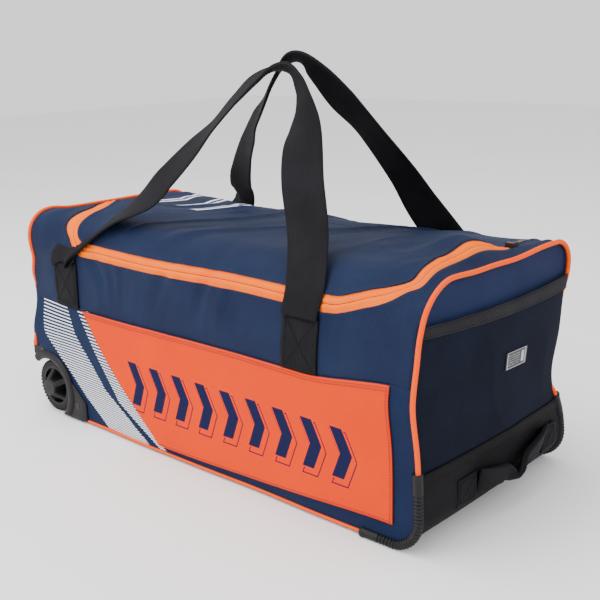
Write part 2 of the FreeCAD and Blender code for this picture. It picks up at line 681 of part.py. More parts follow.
def handle_leg(anchor, apex, side, face, bow):
    """Sections up one leg of a carry handle: straight off its anchor, then leaning to the top
    while the webbing narrows and turns until its width lies across the bag. The bow is how far
    the leg swings inward along the bag at the middle of its height."""
    stand = number("bag_depth / 2 + handle_face_gap + webbing_thickness / 2")
    half = number("webbing_width / 2")
    thick = number("webbing_thickness / 2")
    gathered = number("gathered_width / 2")
    foot = FreeCAD.Vector(anchor, face * stand, number("anchor_height + anchor_gap"))
    rise = FreeCAD.Vector(0, 0, number("handle_rise"))
    crest = apex - FreeCAD.Vector(side * half / 2, 0, half / 3)
    bend = foot + rise
    up = FreeCAD.Vector(0, 0, 1)
    shares = (0.15, 0.3, 0.45, 0.6, 0.8, 1)
    route = [bend + (crest - bend) * share + FreeCAD.Vector(side * bow * math.sin(math.pi * share), 0, 0)
             for share in shares]
    lean = (route[0] - bend).normalize()
    stations = [(foot, up, 0), (foot + rise / 2, up, 0), (bend, (up * 2 + lean).normalize(), 0.05)]
    for k, share in enumerate(shares):
        before = route[k - 1] if k else bend
        after = route[k + 1] if k + 1 < len(route) else route[k]
        stations.append((route[k], (after - before).normalize(), share))
    sections = []
    for centre, along, share in stations:
        width = FreeCAD.Vector(side * (1 - share), face * share, 0)
        width = (width - along * width.dot(along)).normalize()
        depth = along.cross(width) * side
        sections.append((centre, width * (half + (gathered - half) * share), depth * thick * (1 + share)))
    return sections


def build_handle(label, face, left_bow, right_bow):
    """One loop of webbing on the front (-1) or back (1) face."""
    across = face * number("handle_split + gathered_width / 2")
    apex = FreeCAD.Vector(number("apex_along"), across, number("apex_height - webbing_thickness"))
    left = handle_leg(number("left_anchor"), apex, 1, face, number(left_bow))
    right = handle_leg(number("right_anchor"), apex, -1, face, number(right_bow))
    top = (apex, FreeCAD.Vector(0, face * number("gathered_width / 2"), 0),
           FreeCAD.Vector(0, 0, face * number("webbing_thickness")))
    node(feature(label + "_loop", band(left + [top] + right[::-1])), label)


def build_handles():
    """Carry handles: two loops of webbing, each sewn to its face by a boxed anchor at both feet."""
    build_handle("front_handle", -1, "front_left_bow", "front_right_bow")
    build_handle("back_handle", 1, "back_left_bow", "back_right_bow")
    anchors = []
    for name, along in (("left", "left_anchor"), ("right", "right_anchor")):
        anchors.append(box(name + "_patch", (along + " - webbing_width / 2", FRONT + " - webbing_thickness",
                                             "front_seam_height"),
                           ("webbing_width", "webbing_thickness", "anchor_height - front_seam_height")))
    patches = group("front_patches", anchors)
    node(patches, "front_handle_anchors")
    node(mirrored(patches, "back_patches"), "back_handle_anchors")


def build_pull_handle():
    """The end handle hangs from its two sewn feet and its rolled grip stands off the bag."""
    plane = number("bag_length / 2")
    top = number("pull_pivot_height")
    height = number("pull_grip_height")
    thin = number("pull_anchor_thickness")
    thick = number("pull_grip_thickness")
    start = number("pull_start_margin - bag_depth / 2 + pull_anchor_length + pull_gap")
    end = number("bag_depth / 2 - pull_end_margin - pull_anchor_length - pull_gap")
    play = number("pull_play")
    sections = []
    for share, standoff, depth, drop in ((0, 0, 0, 0), (0.2, 0.45, 0.5, 0.05), (0.4, 1, 1, 0.15),
                                         (0.7, 1, 1, 0.15), (0.85, 0.45, 0.5, 0.05), (1, 0, 0, 0)):
        through = thin + (thick - thin) * depth
        out = plane + play + (number("pull_standoff") - play) * standoff + through / 2
        tall = height * (1 - drop)
        centre = FreeCAD.Vector(out, start + (end - start) * share, top - height * drop / 2 - tall / 2)
        sections.append((centre, FreeCAD.Vector(0, 0, tall / 2), FreeCAD.Vector(through / 2, 0, 0)))
    node(feature("pull_loop", band(sections)), "pull_handle")
    feet = []
    for name, along in (("near", "(pull_start_margin - bag_depth / 2)"),
                        ("far", "(bag_depth / 2 - pull_end_margin - pull_anchor_length)")):
        feet.append(box("pull_foot_" + name, ("bag_length / 2", along, "pull_anchor_low"),
                        ("pull_anchor_thickness", "pull_anchor_length", "pull_webbing")))
    node(group("pull_feet", feet), "pull_handle_anchors")


# ---- building and writing ----

outer = build_panels()
build_trim()
build_piping(outer)
build_guards(outer)
build_wheel()
build_housing()
build_slider()
build_handles()
build_pull_handle()
doc.recompute()

broken = [item.Name for item in doc.Objects if {"Invalid", "Error"} & set(item.State)]
if broken:
    raise SystemExit("failed to build: " + ", ".join(broken))
for piece in nodes:
    if piece.Shape.isNull() or not piece.Shape.isValid() or not piece.Shape.Solids:
        raise SystemExit("not a valid solid: " + piece.Label)

os.makedirs("parts", exist_ok=True)
for piece in nodes:
    piece.Shape.exportStep("parts/%s.step" % piece.Label)
    print("%-22s solids %d volume %.0f mm3" % (piece.Label, len(piece.Shape.Solids), piece.Shape.Volume))
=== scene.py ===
import math

import bpy
import numpy as np
from mathutils import Matrix, Vector


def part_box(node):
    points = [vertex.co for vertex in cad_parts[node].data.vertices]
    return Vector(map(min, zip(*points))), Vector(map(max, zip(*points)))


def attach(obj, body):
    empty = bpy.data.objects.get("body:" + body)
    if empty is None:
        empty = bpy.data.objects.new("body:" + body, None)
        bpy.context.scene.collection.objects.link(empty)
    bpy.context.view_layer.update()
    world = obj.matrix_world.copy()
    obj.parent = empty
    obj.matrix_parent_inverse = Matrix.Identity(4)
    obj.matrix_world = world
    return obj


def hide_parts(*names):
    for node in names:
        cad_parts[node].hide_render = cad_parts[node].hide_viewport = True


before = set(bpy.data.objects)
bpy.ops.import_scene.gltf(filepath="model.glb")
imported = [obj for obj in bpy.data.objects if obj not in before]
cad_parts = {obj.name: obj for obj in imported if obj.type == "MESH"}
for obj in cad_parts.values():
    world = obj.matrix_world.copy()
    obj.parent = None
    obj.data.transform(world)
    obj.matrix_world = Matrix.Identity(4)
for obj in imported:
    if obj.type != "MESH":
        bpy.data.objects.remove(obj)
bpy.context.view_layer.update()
print("frame loaded")

# the bag's size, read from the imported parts, in metres

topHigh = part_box("top_panel")[1]
halfLength, topZ = topHigh[0], topHigh[2]
frontY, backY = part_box("front_upper_panel")[0][1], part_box("back_panel")[1][1]
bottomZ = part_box("base_panel")[0][2]

shell = {
    "bottomRadius": 0.004,
    "frontShoulder": 0.060,
    "backShoulder": 0.036,
    "endCorner": 0.040,
    "clothThickness": 0.0016,
}

# bulges of the filled cloth: x, s (length round the section), spread in x, spread in s, height
bulges = [
    (0.36, 0.180, 0.20, 0.050, 0.0115),
    (-0.05, 0.150, 0.40, 0.085, 0.0060),
    (0.12, 0.215, 0.10, 0.045, 0.0030),
    (-0.38, 0.175, 0.08, 0.030, -0.0060),
    (-0.36, 0.120, 0.07, 0.030, 0.0060),
    (0.375, 0.420, 0.022, 0.100, -0.0140),
    (-0.36, 0.292, 0.07, 0.034, 0.0130),
    (-0.38, 0.245, 0.08, 0.045, -0.0090),
    (-0.255, 0.385, 0.045, 0.055, 0.0150),
    (0.314, 0.415, 0.036, 0.044, 0.0210),
    (0.318, 0.345, 0.040, 0.036, 0.0070),
    (0.240, 0.410, 0.080, 0.060, 0.0060),
    (0.00, 0.575, 0.27, 0.036, -0.0130),
    (0.066, 0.560, 0.05, 0.040, -0.0040),
    (0.290, 0.560, 0.04, 0.040, -0.0040),
    (-0.030, 0.550, 0.05, 0.040, 0.0030),
    (-0.20, 0.470, 0.12, 0.060, -0.0030),
    (0.38, 0.757, 0.12, 0.056, -0.0360),
    (0.38, 0.670, 0.10, 0.040, -0.0110),
    (-0.05, 0.740, 0.24, 0.080, 0.0070),
]

sideStart = bottomZ + shell["bottomRadius"]
frontRun = topZ - shell["frontShoulder"] - sideStart
shoulderEnd = frontRun + shell["frontShoulder"] * math.pi / 2
topRun = shoulderEnd + (backY - shell["backShoulder"]) - (frontY + shell["frontShoulder"])
backStart = topRun + shell["backShoulder"] * math.pi / 2
wholeRun = backStart + topZ - shell["backShoulder"] - sideStart


def ease(start, end, t):
    # an S-shaped step: 0 before start, 1 after end, level at both
    t = np.clip((np.asarray(t, float) - start) / (end - start), 0, 1)
    return t * t * (3 - 2 * t)


def noise(x, y, seed):
    # random values on a unit lattice, blended by an S-shaped step in each direction
    table = np.random.default_rng(seed).uniform(-1, 1, (64, 64))
    x, y = np.broadcast_arrays(np.asarray(x, float), np.asarray(y, float))
    column, row = np.floor(x).astype(int), np.floor(y).astype(int)
    across, up = ease(0, 1, x - column), ease(0, 1, y - row)
    here, beyond, below, above = column % 64, (column + 1) % 64, row % 64, (row + 1) % 64
    low = table[here, below] * (1 - across) + table[beyond, below] * across
    high = table[here, above] * (1 - across) + table[beyond, above] * across
    return low * (1 - up) + high * up


def crease(x, y, seed):
    # sharp ridges where the lattice noise crosses zero
    return (1 - np.abs(noise(x, y, seed))) ** 5


def section(s):
    # up the front face, round the front shoulder, over the top, round the back shoulder and down
    front, back = shell["frontShoulder"], shell["backShoulder"]
    s = np.asarray(s, float)
    a = np.clip((s - frontRun) / front, 0, math.pi / 2)
    b = np.clip((s - topRun) / back, 0, math.pi / 2)
    y = frontY + front * (1 - np.cos(a)) + np.clip(s - shoulderEnd, 0, topRun - shoulderEnd) + back * np.sin(b)
    z = (np.minimum(s, frontRun) + sideStart + front * np.sin(a)
         - back * (1 - np.cos(b)) - np.maximum(s - backStart, 0))
    onBack = s > (shoulderEnd + topRun) / 2
    normalY = np.where(onBack, np.sin(b), -np.cos(a))
    normalZ = np.where(onBack, np.cos(b), np.sin(a))
    return y, z, normalY, normalZ


def folds(x, s):
    # gathers under the zip, slanting folds over the lid and soft creases at the ends
    gather = np.exp(-((s - 0.240) / 0.040) ** 2) * ease(-0.34, -0.25, x) * (1 - ease(0.20, 0.30, x))
    gathers = gather * 0.0042 * noise(x / 0.021 + 3 * noise(x / 0.1, s / 0.1, 5), s / 0.16, 11)
    onLid = ease(0.27, 0.31, s) * (1 - ease(0.60, 0.66, s)) * (1 - ease(0.325, 0.355, np.abs(x)))
    slant = x * 0.88 - s * 0.47
    along = x * 0.47 + s * 0.88
    lidFolds = onLid * (0.0034 * crease(slant / 0.050, along / 0.30, 3)
                        + 0.0022 * noise(slant / 0.055, along / 0.20, 9)
                        + 0.0010 * noise(slant / 0.022, along / 0.09, 15))
    low = (1 - ease(0.17, 0.20, s)) * 0.0012 * noise(x / 0.11, s / 0.13, 21)
    rightEnd = ease(0.20, 0.33, x) * np.exp(-((s - 0.225) / 0.035) ** 2)
    pulls = rightEnd * 0.0026 * noise((x + s) / 0.022, (x - s) / 0.07, 33)
    leftEnd = (1 - ease(-0.33, -0.25, x)) * np.exp(-((s - 0.24) / 0.06) ** 2)
    slack = leftEnd * 0.0034 * noise((x - s) / 0.030, (x + s) / 0.08, 41)
    behind = ease(0.62, 0.68, s) * 0.0028 * noise(x / 0.09, s / 0.11, 51)
    return gathers + lidFolds + low + pulls + slack + behind


def bagPoint(x, s, out=0.0):
    # a point of the cloth: the section's point at s, pushed out along its normal by the bulges and folds
    x, s = np.broadcast_arrays(np.asarray(x, float), np.asarray(s, float))
    lift = (0.021 * ease(0.235, 0.312, x) * (1 - ease(0.33, halfLength, x))
            * np.exp(-((s - 0.268) / 0.036) ** 2))
    ripple = 0.004 * np.sin(x / 0.052) * np.exp(-((s - 0.262) / 0.02) ** 2)
    lift = lift + ripple * (1 - ease(0.2, 0.3, x)) * 0.4
    y, z, normalY, normalZ = section(s + lift)
    rise = folds(x, s) + out
    for bx, bs, spreadX, spreadS, height in bulges:
        rise = rise + height * np.exp(-((x - bx) / spreadX) ** 2 - ((s - bs) / spreadS) ** 2)
    # the rim at the wheel end leans out a little at zip height
    lean = -0.003 * (1 - ease(-0.36, -0.20, x)) * np.exp(-((s - 0.262) / 0.07) ** 2)
    return np.stack([x + lean, y + normalY * rise, z + normalZ * rise], -1)


# making meshes

def surface(name, points, uv, closed=False, keep=None, flip=False, uvName="cloth"):
    # quads between neighbouring points of a grid; a closed grid's last column joins its first
    rows, columns = points.shape[:2]
    index = np.arange(rows * columns).reshape(rows, columns)
    if closed:
        index = np.concatenate([index, index[:, :1]], 1)
    quads = np.stack([index[:-1, :-1], index[1:, :-1], index[1:, 1:], index[:-1, 1:]], -1)
    corners = np.stack([uv[:-1, :-1], uv[1:, :-1], uv[1:, 1:], uv[:-1, 1:]], -2)
    if keep is not None:
        quads, corners = quads[keep], corners[keep]
    quads, corners = quads.reshape(-1, 4), corners.reshape(-1, 4, 2)
    if flip:
        quads, corners = quads[:, ::-1], corners[:, ::-1]
    mesh = bpy.data.meshes.new(name)
    mesh.from_pydata(points.reshape(-1, 3).tolist(), [], quads.tolist())
    layer = mesh.uv_layers.new(name=uvName)
    layer.uv.foreach_set("vector", corners.astype(np.float32).ravel())
    mesh.shade_smooth()
    return mesh


def addPiece(name, mesh, material, body, nodes=(), thickness=0.0, weld=False):
    mesh.materials.append(material)
    piece = bpy.data.objects.new(name, mesh)
    bpy.context.scene.collection.objects.link(piece)
    if weld:
        merge = piece.modifiers.new("merge", "WELD")
        merge.merge_threshold = 1e-6
    if thickness:
        wall = piece.modifiers.new("wall", "SOLIDIFY")
        wall.thickness, wall.offset = thickness, -1
    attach(piece, body)
    if nodes:
        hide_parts(*nodes)
    return piece


def clothPatch(name, x, s, material, body, nodes=(), out=0.0, thickness=None, keep=None):
    points = bagPoint(x, s, out)
    uv = np.stack(np.broadcast_arrays(x, s), -1)
    mesh = surface(name, points, uv, keep=keep)
    return addPiece(name, mesh, material, body, nodes,
                    shell["clothThickness"] if thickness is None else thickness)


def joinMeshes(name, meshes):
    # several meshes in one, each with the same UV layer
    points, quads, corners, start = [], [], [], 0
    for mesh in meshes:
        place = np.empty(len(mesh.vertices) * 3, np.float32)
        mesh.vertices.foreach_get("co", place)
        loops = np.empty(len(mesh.loops), np.int32)
        mesh.loops.foreach_get("vertex_index", loops)
        uv = np.empty(len(mesh.loops) * 2, np.float32)
        mesh.uv_layers[0].uv.foreach_get("vector", uv)
        points.append(place.reshape(-1, 3)), quads.append(loops.reshape(-1, 4) + start), corners.append(uv)
        start += len(mesh.vertices)
    whole = bpy.data.meshes.new(name)
    whole.from_pydata(np.concatenate(points).tolist(), [], np.concatenate(quads).tolist())
    whole.uv_layers.new(name="cloth").uv.foreach_set("vector", np.concatenate(corners))
    whole.shade_smooth()
    return whole


def unit(v):
    return v / np.maximum(np.linalg.norm(v, axis=-1, keepdims=True), 1e-12)


def arcLength(path):
    return np.concatenate([[0], np.cumsum(np.linalg.norm(np.diff(path, axis=0), axis=1))])


def resample(path, count):
    # the same line with its points spread evenly along it
    length = arcLength(path)
    even = np.linspace(0, length[-1], count)
    return np.stack([np.interp(even, length, path[:, k]) for k in range(3)], -1)


def smoothLine(stations, count):
    # a curve through every station: cubic between neighbours, tangents from the stations each side
    stations = np.asarray(stations, float)
    at = np.linspace(0, len(stations) - 1, count)
    k = np.minimum(at.astype(int), len(stations) - 2)
    t = (at - k)[:, None]
    slope = np.gradient(stations, axis=0)
    return ((2 * t ** 3 - 3 * t ** 2 + 1) * stations[k] + (t ** 3 - 2 * t ** 2 + t) * slope[k]
            + (3 * t ** 2 - 2 * t ** 3) * stations[k + 1] + (t ** 3 - t ** 2) * slope[k + 1])


def sweep(name, path, sideways, profile, scale=None, capped=True):
    # the closed profile carried along the path; its first axis lies sideways and its second across both
    along = unit(np.gradient(path, axis=0))
    sideways = unit(sideways - along * np.sum(sideways * along, -1, keepdims=True))
    upward = np.cross(sideways, along)
    scale = np.ones((len(path), 2)) if scale is None else scale
    if capped:
        path, sideways, upward = (np.concatenate([v[:1], v, v[-1:]]) for v in (path, sideways, upward))
        scale = np.concatenate([scale[:1] * 0.001, scale, scale[-1:] * 0.001])
    points = (path[:, None] + sideways[:, None] * (profile[None, :, :1] * scale[:, None, :1])
              + upward[:, None] * (profile[None, :, 1:] * scale[:, None, 1:]))
    around = arcLength(np.concatenate([profile, profile[:1]]))
    uv = np.stack(np.meshgrid(arcLength(path), around, indexing="ij"), -1)[..., ::-1]
    area = np.sum(profile[:, 0] * np.roll(profile[:, 1], -1) - profile[:, 1] * np.roll(profile[:, 0], -1))
    return surface(name, points, uv, closed=True, flip=area < 0)


def ring(radius, sides, squashed=1.0):
    angle = np.arange(sides) * 2 * math.pi / sides
    return np.stack([np.cos(angle), np.sin(angle) * squashed], -1) * radius


def strapProfile(width, thickness, steps=8):
    # a flat bar with rounded edges, with several points across its width
    across = np.linspace(-1, 1, steps) * (width / 2 - thickness / 2)
    half = thickness / 2
    lower = np.stack([across, np.full(steps, -half)], -1)
    upper = np.stack([across[::-1], np.full(steps, half)], -1)
    return np.concatenate([lower, [[width / 2, 0]], upper, [[-width / 2, 0]]])


def stitchRow(path, normal, pitch=0.0042, length=0.0029, radius=0.00042):
    # short thread ends lying along a line: each is a small pointed bead, 4 sides by 3 rings
    total = arcLength(path)
    count = max(int(total[-1] / pitch), 1)
    at = (np.arange(count) + 0.5) * total[-1] / count
    centre = np.stack([np.interp(at, total, path[:, k]) for k in range(3)], -1)
    lead = unit(np.stack([np.interp(at + 1e-4, total, path[:, k]) - np.interp(at - 1e-4, total, path[:, k])
                          for k in range(3)], -1))
    lift = unit(np.stack([np.interp(at, total, normal[:, k]) for k in range(3)], -1))
    side = np.cross(lift, lead)
    where = np.array([-0.5, -0.3, 0.3, 0.5])
    size = np.array([0.25, 1, 1, 0.25])
    angle = np.arange(4) * math.pi / 2
    points = (centre[:, None, None] + lead[:, None, None] * (where * length)[None, :, None, None]
              + side[:, None, None] * (np.cos(angle)[None, :] * size[:, None] * radius)[None, :, :, None]
              + lift[:, None, None] * (np.sin(angle)[None, :] * size[:, None] * radius)[None, :, :, None])
    index = np.arange(count * 16).reshape(count, 4, 4)
    index = np.concatenate([index, index[:, :, :1]], 2)
    quads = np.stack([index[:, :-1, :-1], index[:, :-1, 1:], index[:, 1:, 1:], index[:, 1:, :-1]], -1)
    ends = np.concatenate([index[:, 0, 3::-1], index[:, 3, :4]])
    mesh = bpy.data.meshes.new("thread")
    faces = np.concatenate([quads.reshape(-1, 4), ends])
    mesh.from_pydata(points.reshape(-1, 3).tolist(), [], faces.tolist())
    layer = mesh.uv_layers.new(name="cloth")
    layer.uv.foreach_set("vector", np.zeros(len(mesh.loops) * 2, np.float32))
    return mesh


boxStitch = {"pitch": 0.0036, "length": 0.0026}


def crossedBox(low, high, bottom, top, steps):
    # the stitching line of a box and both its diagonals, as seven straight runs of two coordinates
    corners = np.array([(low, bottom), (high, bottom), (high, top), (low, top), (low, bottom), (high, top),
                        (low, top), (high, bottom)])
    t = np.linspace(0, 1, steps)[:, None]
    return [(a + (b - a) * t).T for a, b in zip(corners[:-1], corners[1:])]


# materials

def toLinear(hexColour):
    # sRGB hex to linear RGBA
    parts = [int(hexColour[k:k + 2], 16) / 255 for k in (0, 2, 4)]
    return [c / 12.92 if c <= 0.04045 else ((c + 0.055) / 1.055) ** 2.4 for c in parts] + [1]


def setSocket(tree, socket, value):
    # a node stands for its first output
    if isinstance(value, bpy.types.Node):
        value = value.outputs[0]
    if isinstance(value, bpy.types.NodeSocket):
        tree.links.new(value, socket)
    else:
        socket.default_value = value


def addNode(tree, kind, inputs=(), **settings):
    node = tree.nodes.new("ShaderNode" + kind)
    for key, value in settings.items():
        setattr(node, key, value)
    for socket, value in dict(inputs).items():
        setSocket(tree, node.inputs[socket], value)
    return node


def newMaterial(name):
    material = bpy.data.materials.new(name)
    material.use_nodes = True
    tree = material.node_tree
    return material, tree, tree.nodes["Principled BSDF"]


def finish(tree, shader, colour, roughness, height=None, depth=0.0002, strength=0.6, **uniform):
    # colour and height may be links; the uniform values are set on the shader's own sockets
    for socket, value in (("Base Color", colour), ("Roughness", roughness)):
        setSocket(tree, shader.inputs[socket], value)
    for key, value in uniform.items():
        shader.inputs[key.replace("_", " ")].default_value = value
    if height is not None:
        bump = addNode(tree, "Bump", {"Height": height, "Distance": depth, "Strength": strength})
        tree.links.new(bump.outputs[0], shader.inputs["Normal"])


def wovenHeight(tree, vector, threadsX, threadsY):
    # over-and-under threads: the product of two bands, one across the other
    warp = addNode(tree, "TexWave", {"Vector": vector, "Scale": threadsX, "Distortion": 0.4, "Detail": 1},
                   wave_type="BANDS", bands_direction="X")
    weft = addNode(tree, "TexWave", {"Vector": vector, "Scale": threadsY, "Distortion": 0.4, "Detail": 1},
                   wave_type="BANDS", bands_direction="Y")
    return addNode(tree, "Math", {0: warp.outputs[1], 1: weft.outputs[1]}, operation="MULTIPLY").outputs[0]


def printedOver(tree, ink, base, hexColour):
    # a flat ink laid over the cloth's own colour where the pattern is one
    return addNode(tree, "Mix", {0: ink, 6: base, 7: toLinear(hexColour)}, data_type="RGBA").outputs[2]


def toneAndShadeMix(tree, value, low, high, dark, light):
    # two near colours blended as a pattern's value goes from low to high: random tone and wear for most materials,
    # painted shade in the grooves of the woven tapes
    share = addNode(tree, "MapRange", {"Value": value, "From Min": low, "From Max": high})
    return addNode(tree, "Mix", {0: share, 6: toLinear(dark), 7: toLinear(light)}, data_type="RGBA").outputs[2]


def wavesPerMetre(pitch):
    # a wave texture's scale whose bands repeat every pitch metres
    return 2 * math.pi / (20 * pitch)


def polyesterCloth(name, dark, light, roughness=0.66, pitch=0.0011, sheen=0.35, sheenTint="aab8d8",
                   colourLink=None, specular=0.08):
    # solution-dyed 600-denier polyester, plain weave: threads about 0.5 mm apart, drawn at 1.1 mm to show;
    # the filaments catch light as a soft sheen and the dye varies a little from yarn to yarn
    material, tree, shader = newMaterial(name)
    place = addNode(tree, "TexCoord")
    weave = wovenHeight(tree, place.outputs["UV"], wavesPerMetre(pitch), wavesPerMetre(pitch))
    cloudy = addNode(tree, "TexNoise", {"Vector": place.outputs["Object"], "Scale": 14.0, "Detail": 4.0})
    yarn = addNode(tree, "TexNoise", {"Vector": place.outputs["Object"], "Scale": 700.0, "Detail": 2.0})
    both = addNode(tree, "Math", {0: cloudy, 1: yarn}, operation="ADD")
    base = toneAndShadeMix(tree, both, 0.7, 1.35, dark, light)
    if colourLink:
        base = colourLink(tree, base, place)
    # painted shade: the colour is darkened to 0.82 where the weave dips, so the hollows between thread crossings
    # are painted darker
    paintedHollowShade = addNode(tree, "HueSaturation", {"Color": base, "Value": 0.82})
    shaded = addNode(tree, "Mix", {0: weave, 6: paintedHollowShade, 7: base}, data_type="RGBA").outputs[2]
    finish(tree, shader, shaded, roughness, weave, 0.00035, 0.55, Sheen_Weight=sheen, Sheen_Roughness=0.45,
           Sheen_Tint=toLinear(sheenTint), Specular_IOR_Level=specular)
    return material


def printedStripes(tree, base, place):
    # pale printed lines in two slanting ribbons, closing up and thickening towards the bottom
    bands = addNode(tree, "UVMap", uv_map="ribbon")
    parts = addNode(tree, "SeparateXYZ", {0: bands})
    across, phase = parts.outputs[0], parts.outputs[1]
    height = addNode(tree, "SeparateXYZ", {0: place.outputs["Object"]}).outputs[2]
    share = addNode(tree, "MapRange", {"Value": height, "From Min": 0.185, "From Max": 0.02,
                                       "To Min": 0.34, "To Max": 0.56})
    tooth = addNode(tree, "Math", {0: phase}, operation="FRACT")
    line = addNode(tree, "Math", {0: tooth, 1: share}, operation="LESS_THAN")
    cell = addNode(tree, "Math", {0: across, 1: 2.0}, operation="MODULO")
    inside = addNode(tree, "Math", {0: cell, 1: 1.0}, operation="LESS_THAN")
    positive = addNode(tree, "Math", {0: across, 1: 0.0}, operation="GREATER_THAN")
    ended = addNode(tree, "Math", {0: across, 1: 3.0}, operation="LESS_THAN")
    one = addNode(tree, "Math", {0: line, 1: inside}, operation="MULTIPLY")
    two = addNode(tree, "Math", {0: positive, 1: ended}, operation="MULTIPLY")
    ink = addNode(tree, "Math", {0: one, 1: two}, operation="MULTIPLY")
    return printedOver(tree, ink, base, "f4f6ff")


def chevronInk(tree, x, height, sheet, shift=(0.0, 0.0)):
    # distance to the edge of the nearest of a row of arrowhead bars, below zero inside
    along = addNode(tree, "Math", {0: x, 1: sheet["start"] + shift[0]}, operation="SUBTRACT")
    cell = addNode(tree, "Math", {0: along, 1: sheet["pitch"]}, operation="FLOORED_MODULO")
    level = addNode(tree, "Math", {0: height, 1: sheet["middle"] + shift[1]}, operation="SUBTRACT")
    away = addNode(tree, "Math", {0: level}, operation="ABSOLUTE")
    leaning = addNode(tree, "Math", {0: away, 1: sheet["lean"], 2: cell},
                      operation="MULTIPLY_ADD")
    centred = addNode(tree, "Math", {0: leaning, 1: sheet["tip"]}, operation="SUBTRACT")
    band = addNode(tree, "Math", {0: centred}, operation="ABSOLUTE")
    bandEdge = addNode(tree, "Math", {0: band, 1: sheet["bar"] / 2}, operation="SUBTRACT")
    endEdge = addNode(tree, "Math", {0: away, 1: sheet["half"]}, operation="SUBTRACT")
    return addNode(tree, "Math", {0: bandEdge, 1: endEdge}, operation="MAXIMUM").outputs[0]


def inkWhere(tree, distance, low, high):
    above = addNode(tree, "Math", {0: distance, 1: low}, operation="GREATER_THAN")
    below = addNode(tree, "Math", {0: distance, 1: high}, operation="LESS_THAN")
    return addNode(tree, "Math", {0: above, 1: below}, operation="MULTIPLY").outputs[0]


def inkBetween(tree, ink, x, low, high):
    within = inkWhere(tree, x, low, high)
    return addNode(tree, "Math", {0: ink, 1: within}, operation="MULTIPLY").outputs[0]


chevrons = {"start": -0.137, "pitch": 0.046, "middle": 0.096, "lean": 0.42, "tip": 0.030, "bar": 0.018,
            "half": 0.032, "count": 9}


def printedChevrons(tree, base, place):
    # a row of plain arrowhead bars, each with a thin outline printed a little down and to the right
    parts = addNode(tree, "SeparateXYZ", {0: place.outputs["Object"]})
    x, height = parts.outputs[0], parts.outputs[2]
    solid = inkWhere(tree, chevronInk(tree, x, height, chevrons), -1.0, 0.0)
    dropped = chevronInk(tree, x, height, chevrons, (0.004, -0.006))
    outline = inkWhere(tree, dropped, 0.0020, 0.0036)
    near = inkWhere(tree, chevronInk(tree, x, height, chevrons), 0.0016, 1.0)
    outline = addNode(tree, "Math", {0: outline, 1: near}, operation="MULTIPLY").outputs[0]
    ink = addNode(tree, "Math", {0: solid, 1: outline}, operation="MAXIMUM").outputs[0]
    end = chevrons["start"] + chevrons["count"] * chevrons["pitch"]
    return printedOver(tree, inkBetween(tree, ink, x, chevrons["start"], end), base, "1c2044")


lidMarks = {"start": -0.312, "pitch": 0.058, "middle": 0.075, "lean": 0.42, "tip": 0.038, "bar": 0.020,
            "half": 0.062, "count": 3}


def printedOutlines(tree, base, place):
    # three plain arrowheads in white outline, printed across the wheel end of the lid
    parts = addNode(tree, "SeparateXYZ", {0: place.outputs["Object"]})
    x, depth = parts.outputs[0], parts.outputs[1]
    outline = inkWhere(tree, chevronInk(tree, x, depth, lidMarks), -0.0065, 0.0)
    end = lidMarks["start"] + lidMarks["count"] * lidMarks["pitch"]
    above = inkWhere(tree, parts.outputs[2], 0.24, 1.0)
    ink = inkBetween(tree, inkBetween(tree, outline, x, lidMarks["start"], end), above, 0.5, 2.0)
    return printedOver(tree, ink, base, "e9ebf5")


def wovenTape(name, dark, light, ribPitch, roughness=0.7, sheen=0.25, depth=0.0004, along=False,
              tint="8c8c96", specular=0.09):
    # ribbed woven tape: cords run lengthwise with fine picks across them
    material, tree, shader = newMaterial(name)
    place = addNode(tree, "TexCoord")
    ribs = addNode(tree, "TexWave", {"Vector": place.outputs["UV"], "Scale": wavesPerMetre(ribPitch),
                                     "Distortion": 0.2, "Detail": 1.0},
                   wave_type="BANDS", bands_direction="Y" if along else "X")
    picks = addNode(tree, "TexWave", {"Vector": place.outputs["UV"], "Scale": wavesPerMetre(0.0012),
                                      "Distortion": 0.6, "Detail": 1.0},
                    wave_type="BANDS", bands_direction="X" if along else "Y")
    height = addNode(tree, "Math", {0: picks.outputs[1], 1: 0.35, 2: ribs.outputs[1]},
                     operation="MULTIPLY_ADD")
    cloudy = addNode(tree, "TexNoise", {"Vector": place.outputs["Object"], "Scale": 22.0, "Detail": 3.0})
    # painted shade mixed with random tone: the colour follows the height of the ribs and picks, so the grooves
    # between them are painted darker
    grooveShadeAndTone = addNode(tree, "Math", {0: height, 1: cloudy}, operation="MULTIPLY")
    colour = toneAndShadeMix(tree, grooveShadeAndTone, 0.1, 0.7, dark, light)
    finish(tree, shader, colour, roughness, height, depth, 0.6, Sheen_Weight=sheen,
           Sheen_Roughness=0.5, Sheen_Tint=toLinear(tint), Specular_IOR_Level=specular)
    return material


def mouldedPlastic(name, dark, light, roughness, grain=0.0012, depth=0.00012, coat=0.0):
    # injection-moulded plastic or rubber with a fine spark-eroded grain about 0.4 mm, drawn at about 1 mm
    material, tree, shader = newMaterial(name)
    place = addNode(tree, "TexCoord")
    fine = addNode(tree, "TexNoise", {"Vector": place.outputs["Object"], "Scale": 1 / grain, "Detail": 3.0})
    cloudy = addNode(tree, "TexNoise", {"Vector": place.outputs["Object"], "Scale": 40.0, "Detail": 5.0,
                                        "Roughness": 0.65})
    rough = addNode(tree, "MapRange", {"Value": cloudy, "From Min": 0.3, "From Max": 0.7,
                                       "To Min": roughness - 0.06, "To Max": roughness + 0.08})
    colour = toneAndShadeMix(tree, cloudy, 0.3, 0.7, dark, light)
    finish(tree, shader, colour, rough, fine, depth, 0.5, Coat_Weight=coat,
           Coat_Roughness=0.3, Specular_IOR_Level=0.22)
    return material


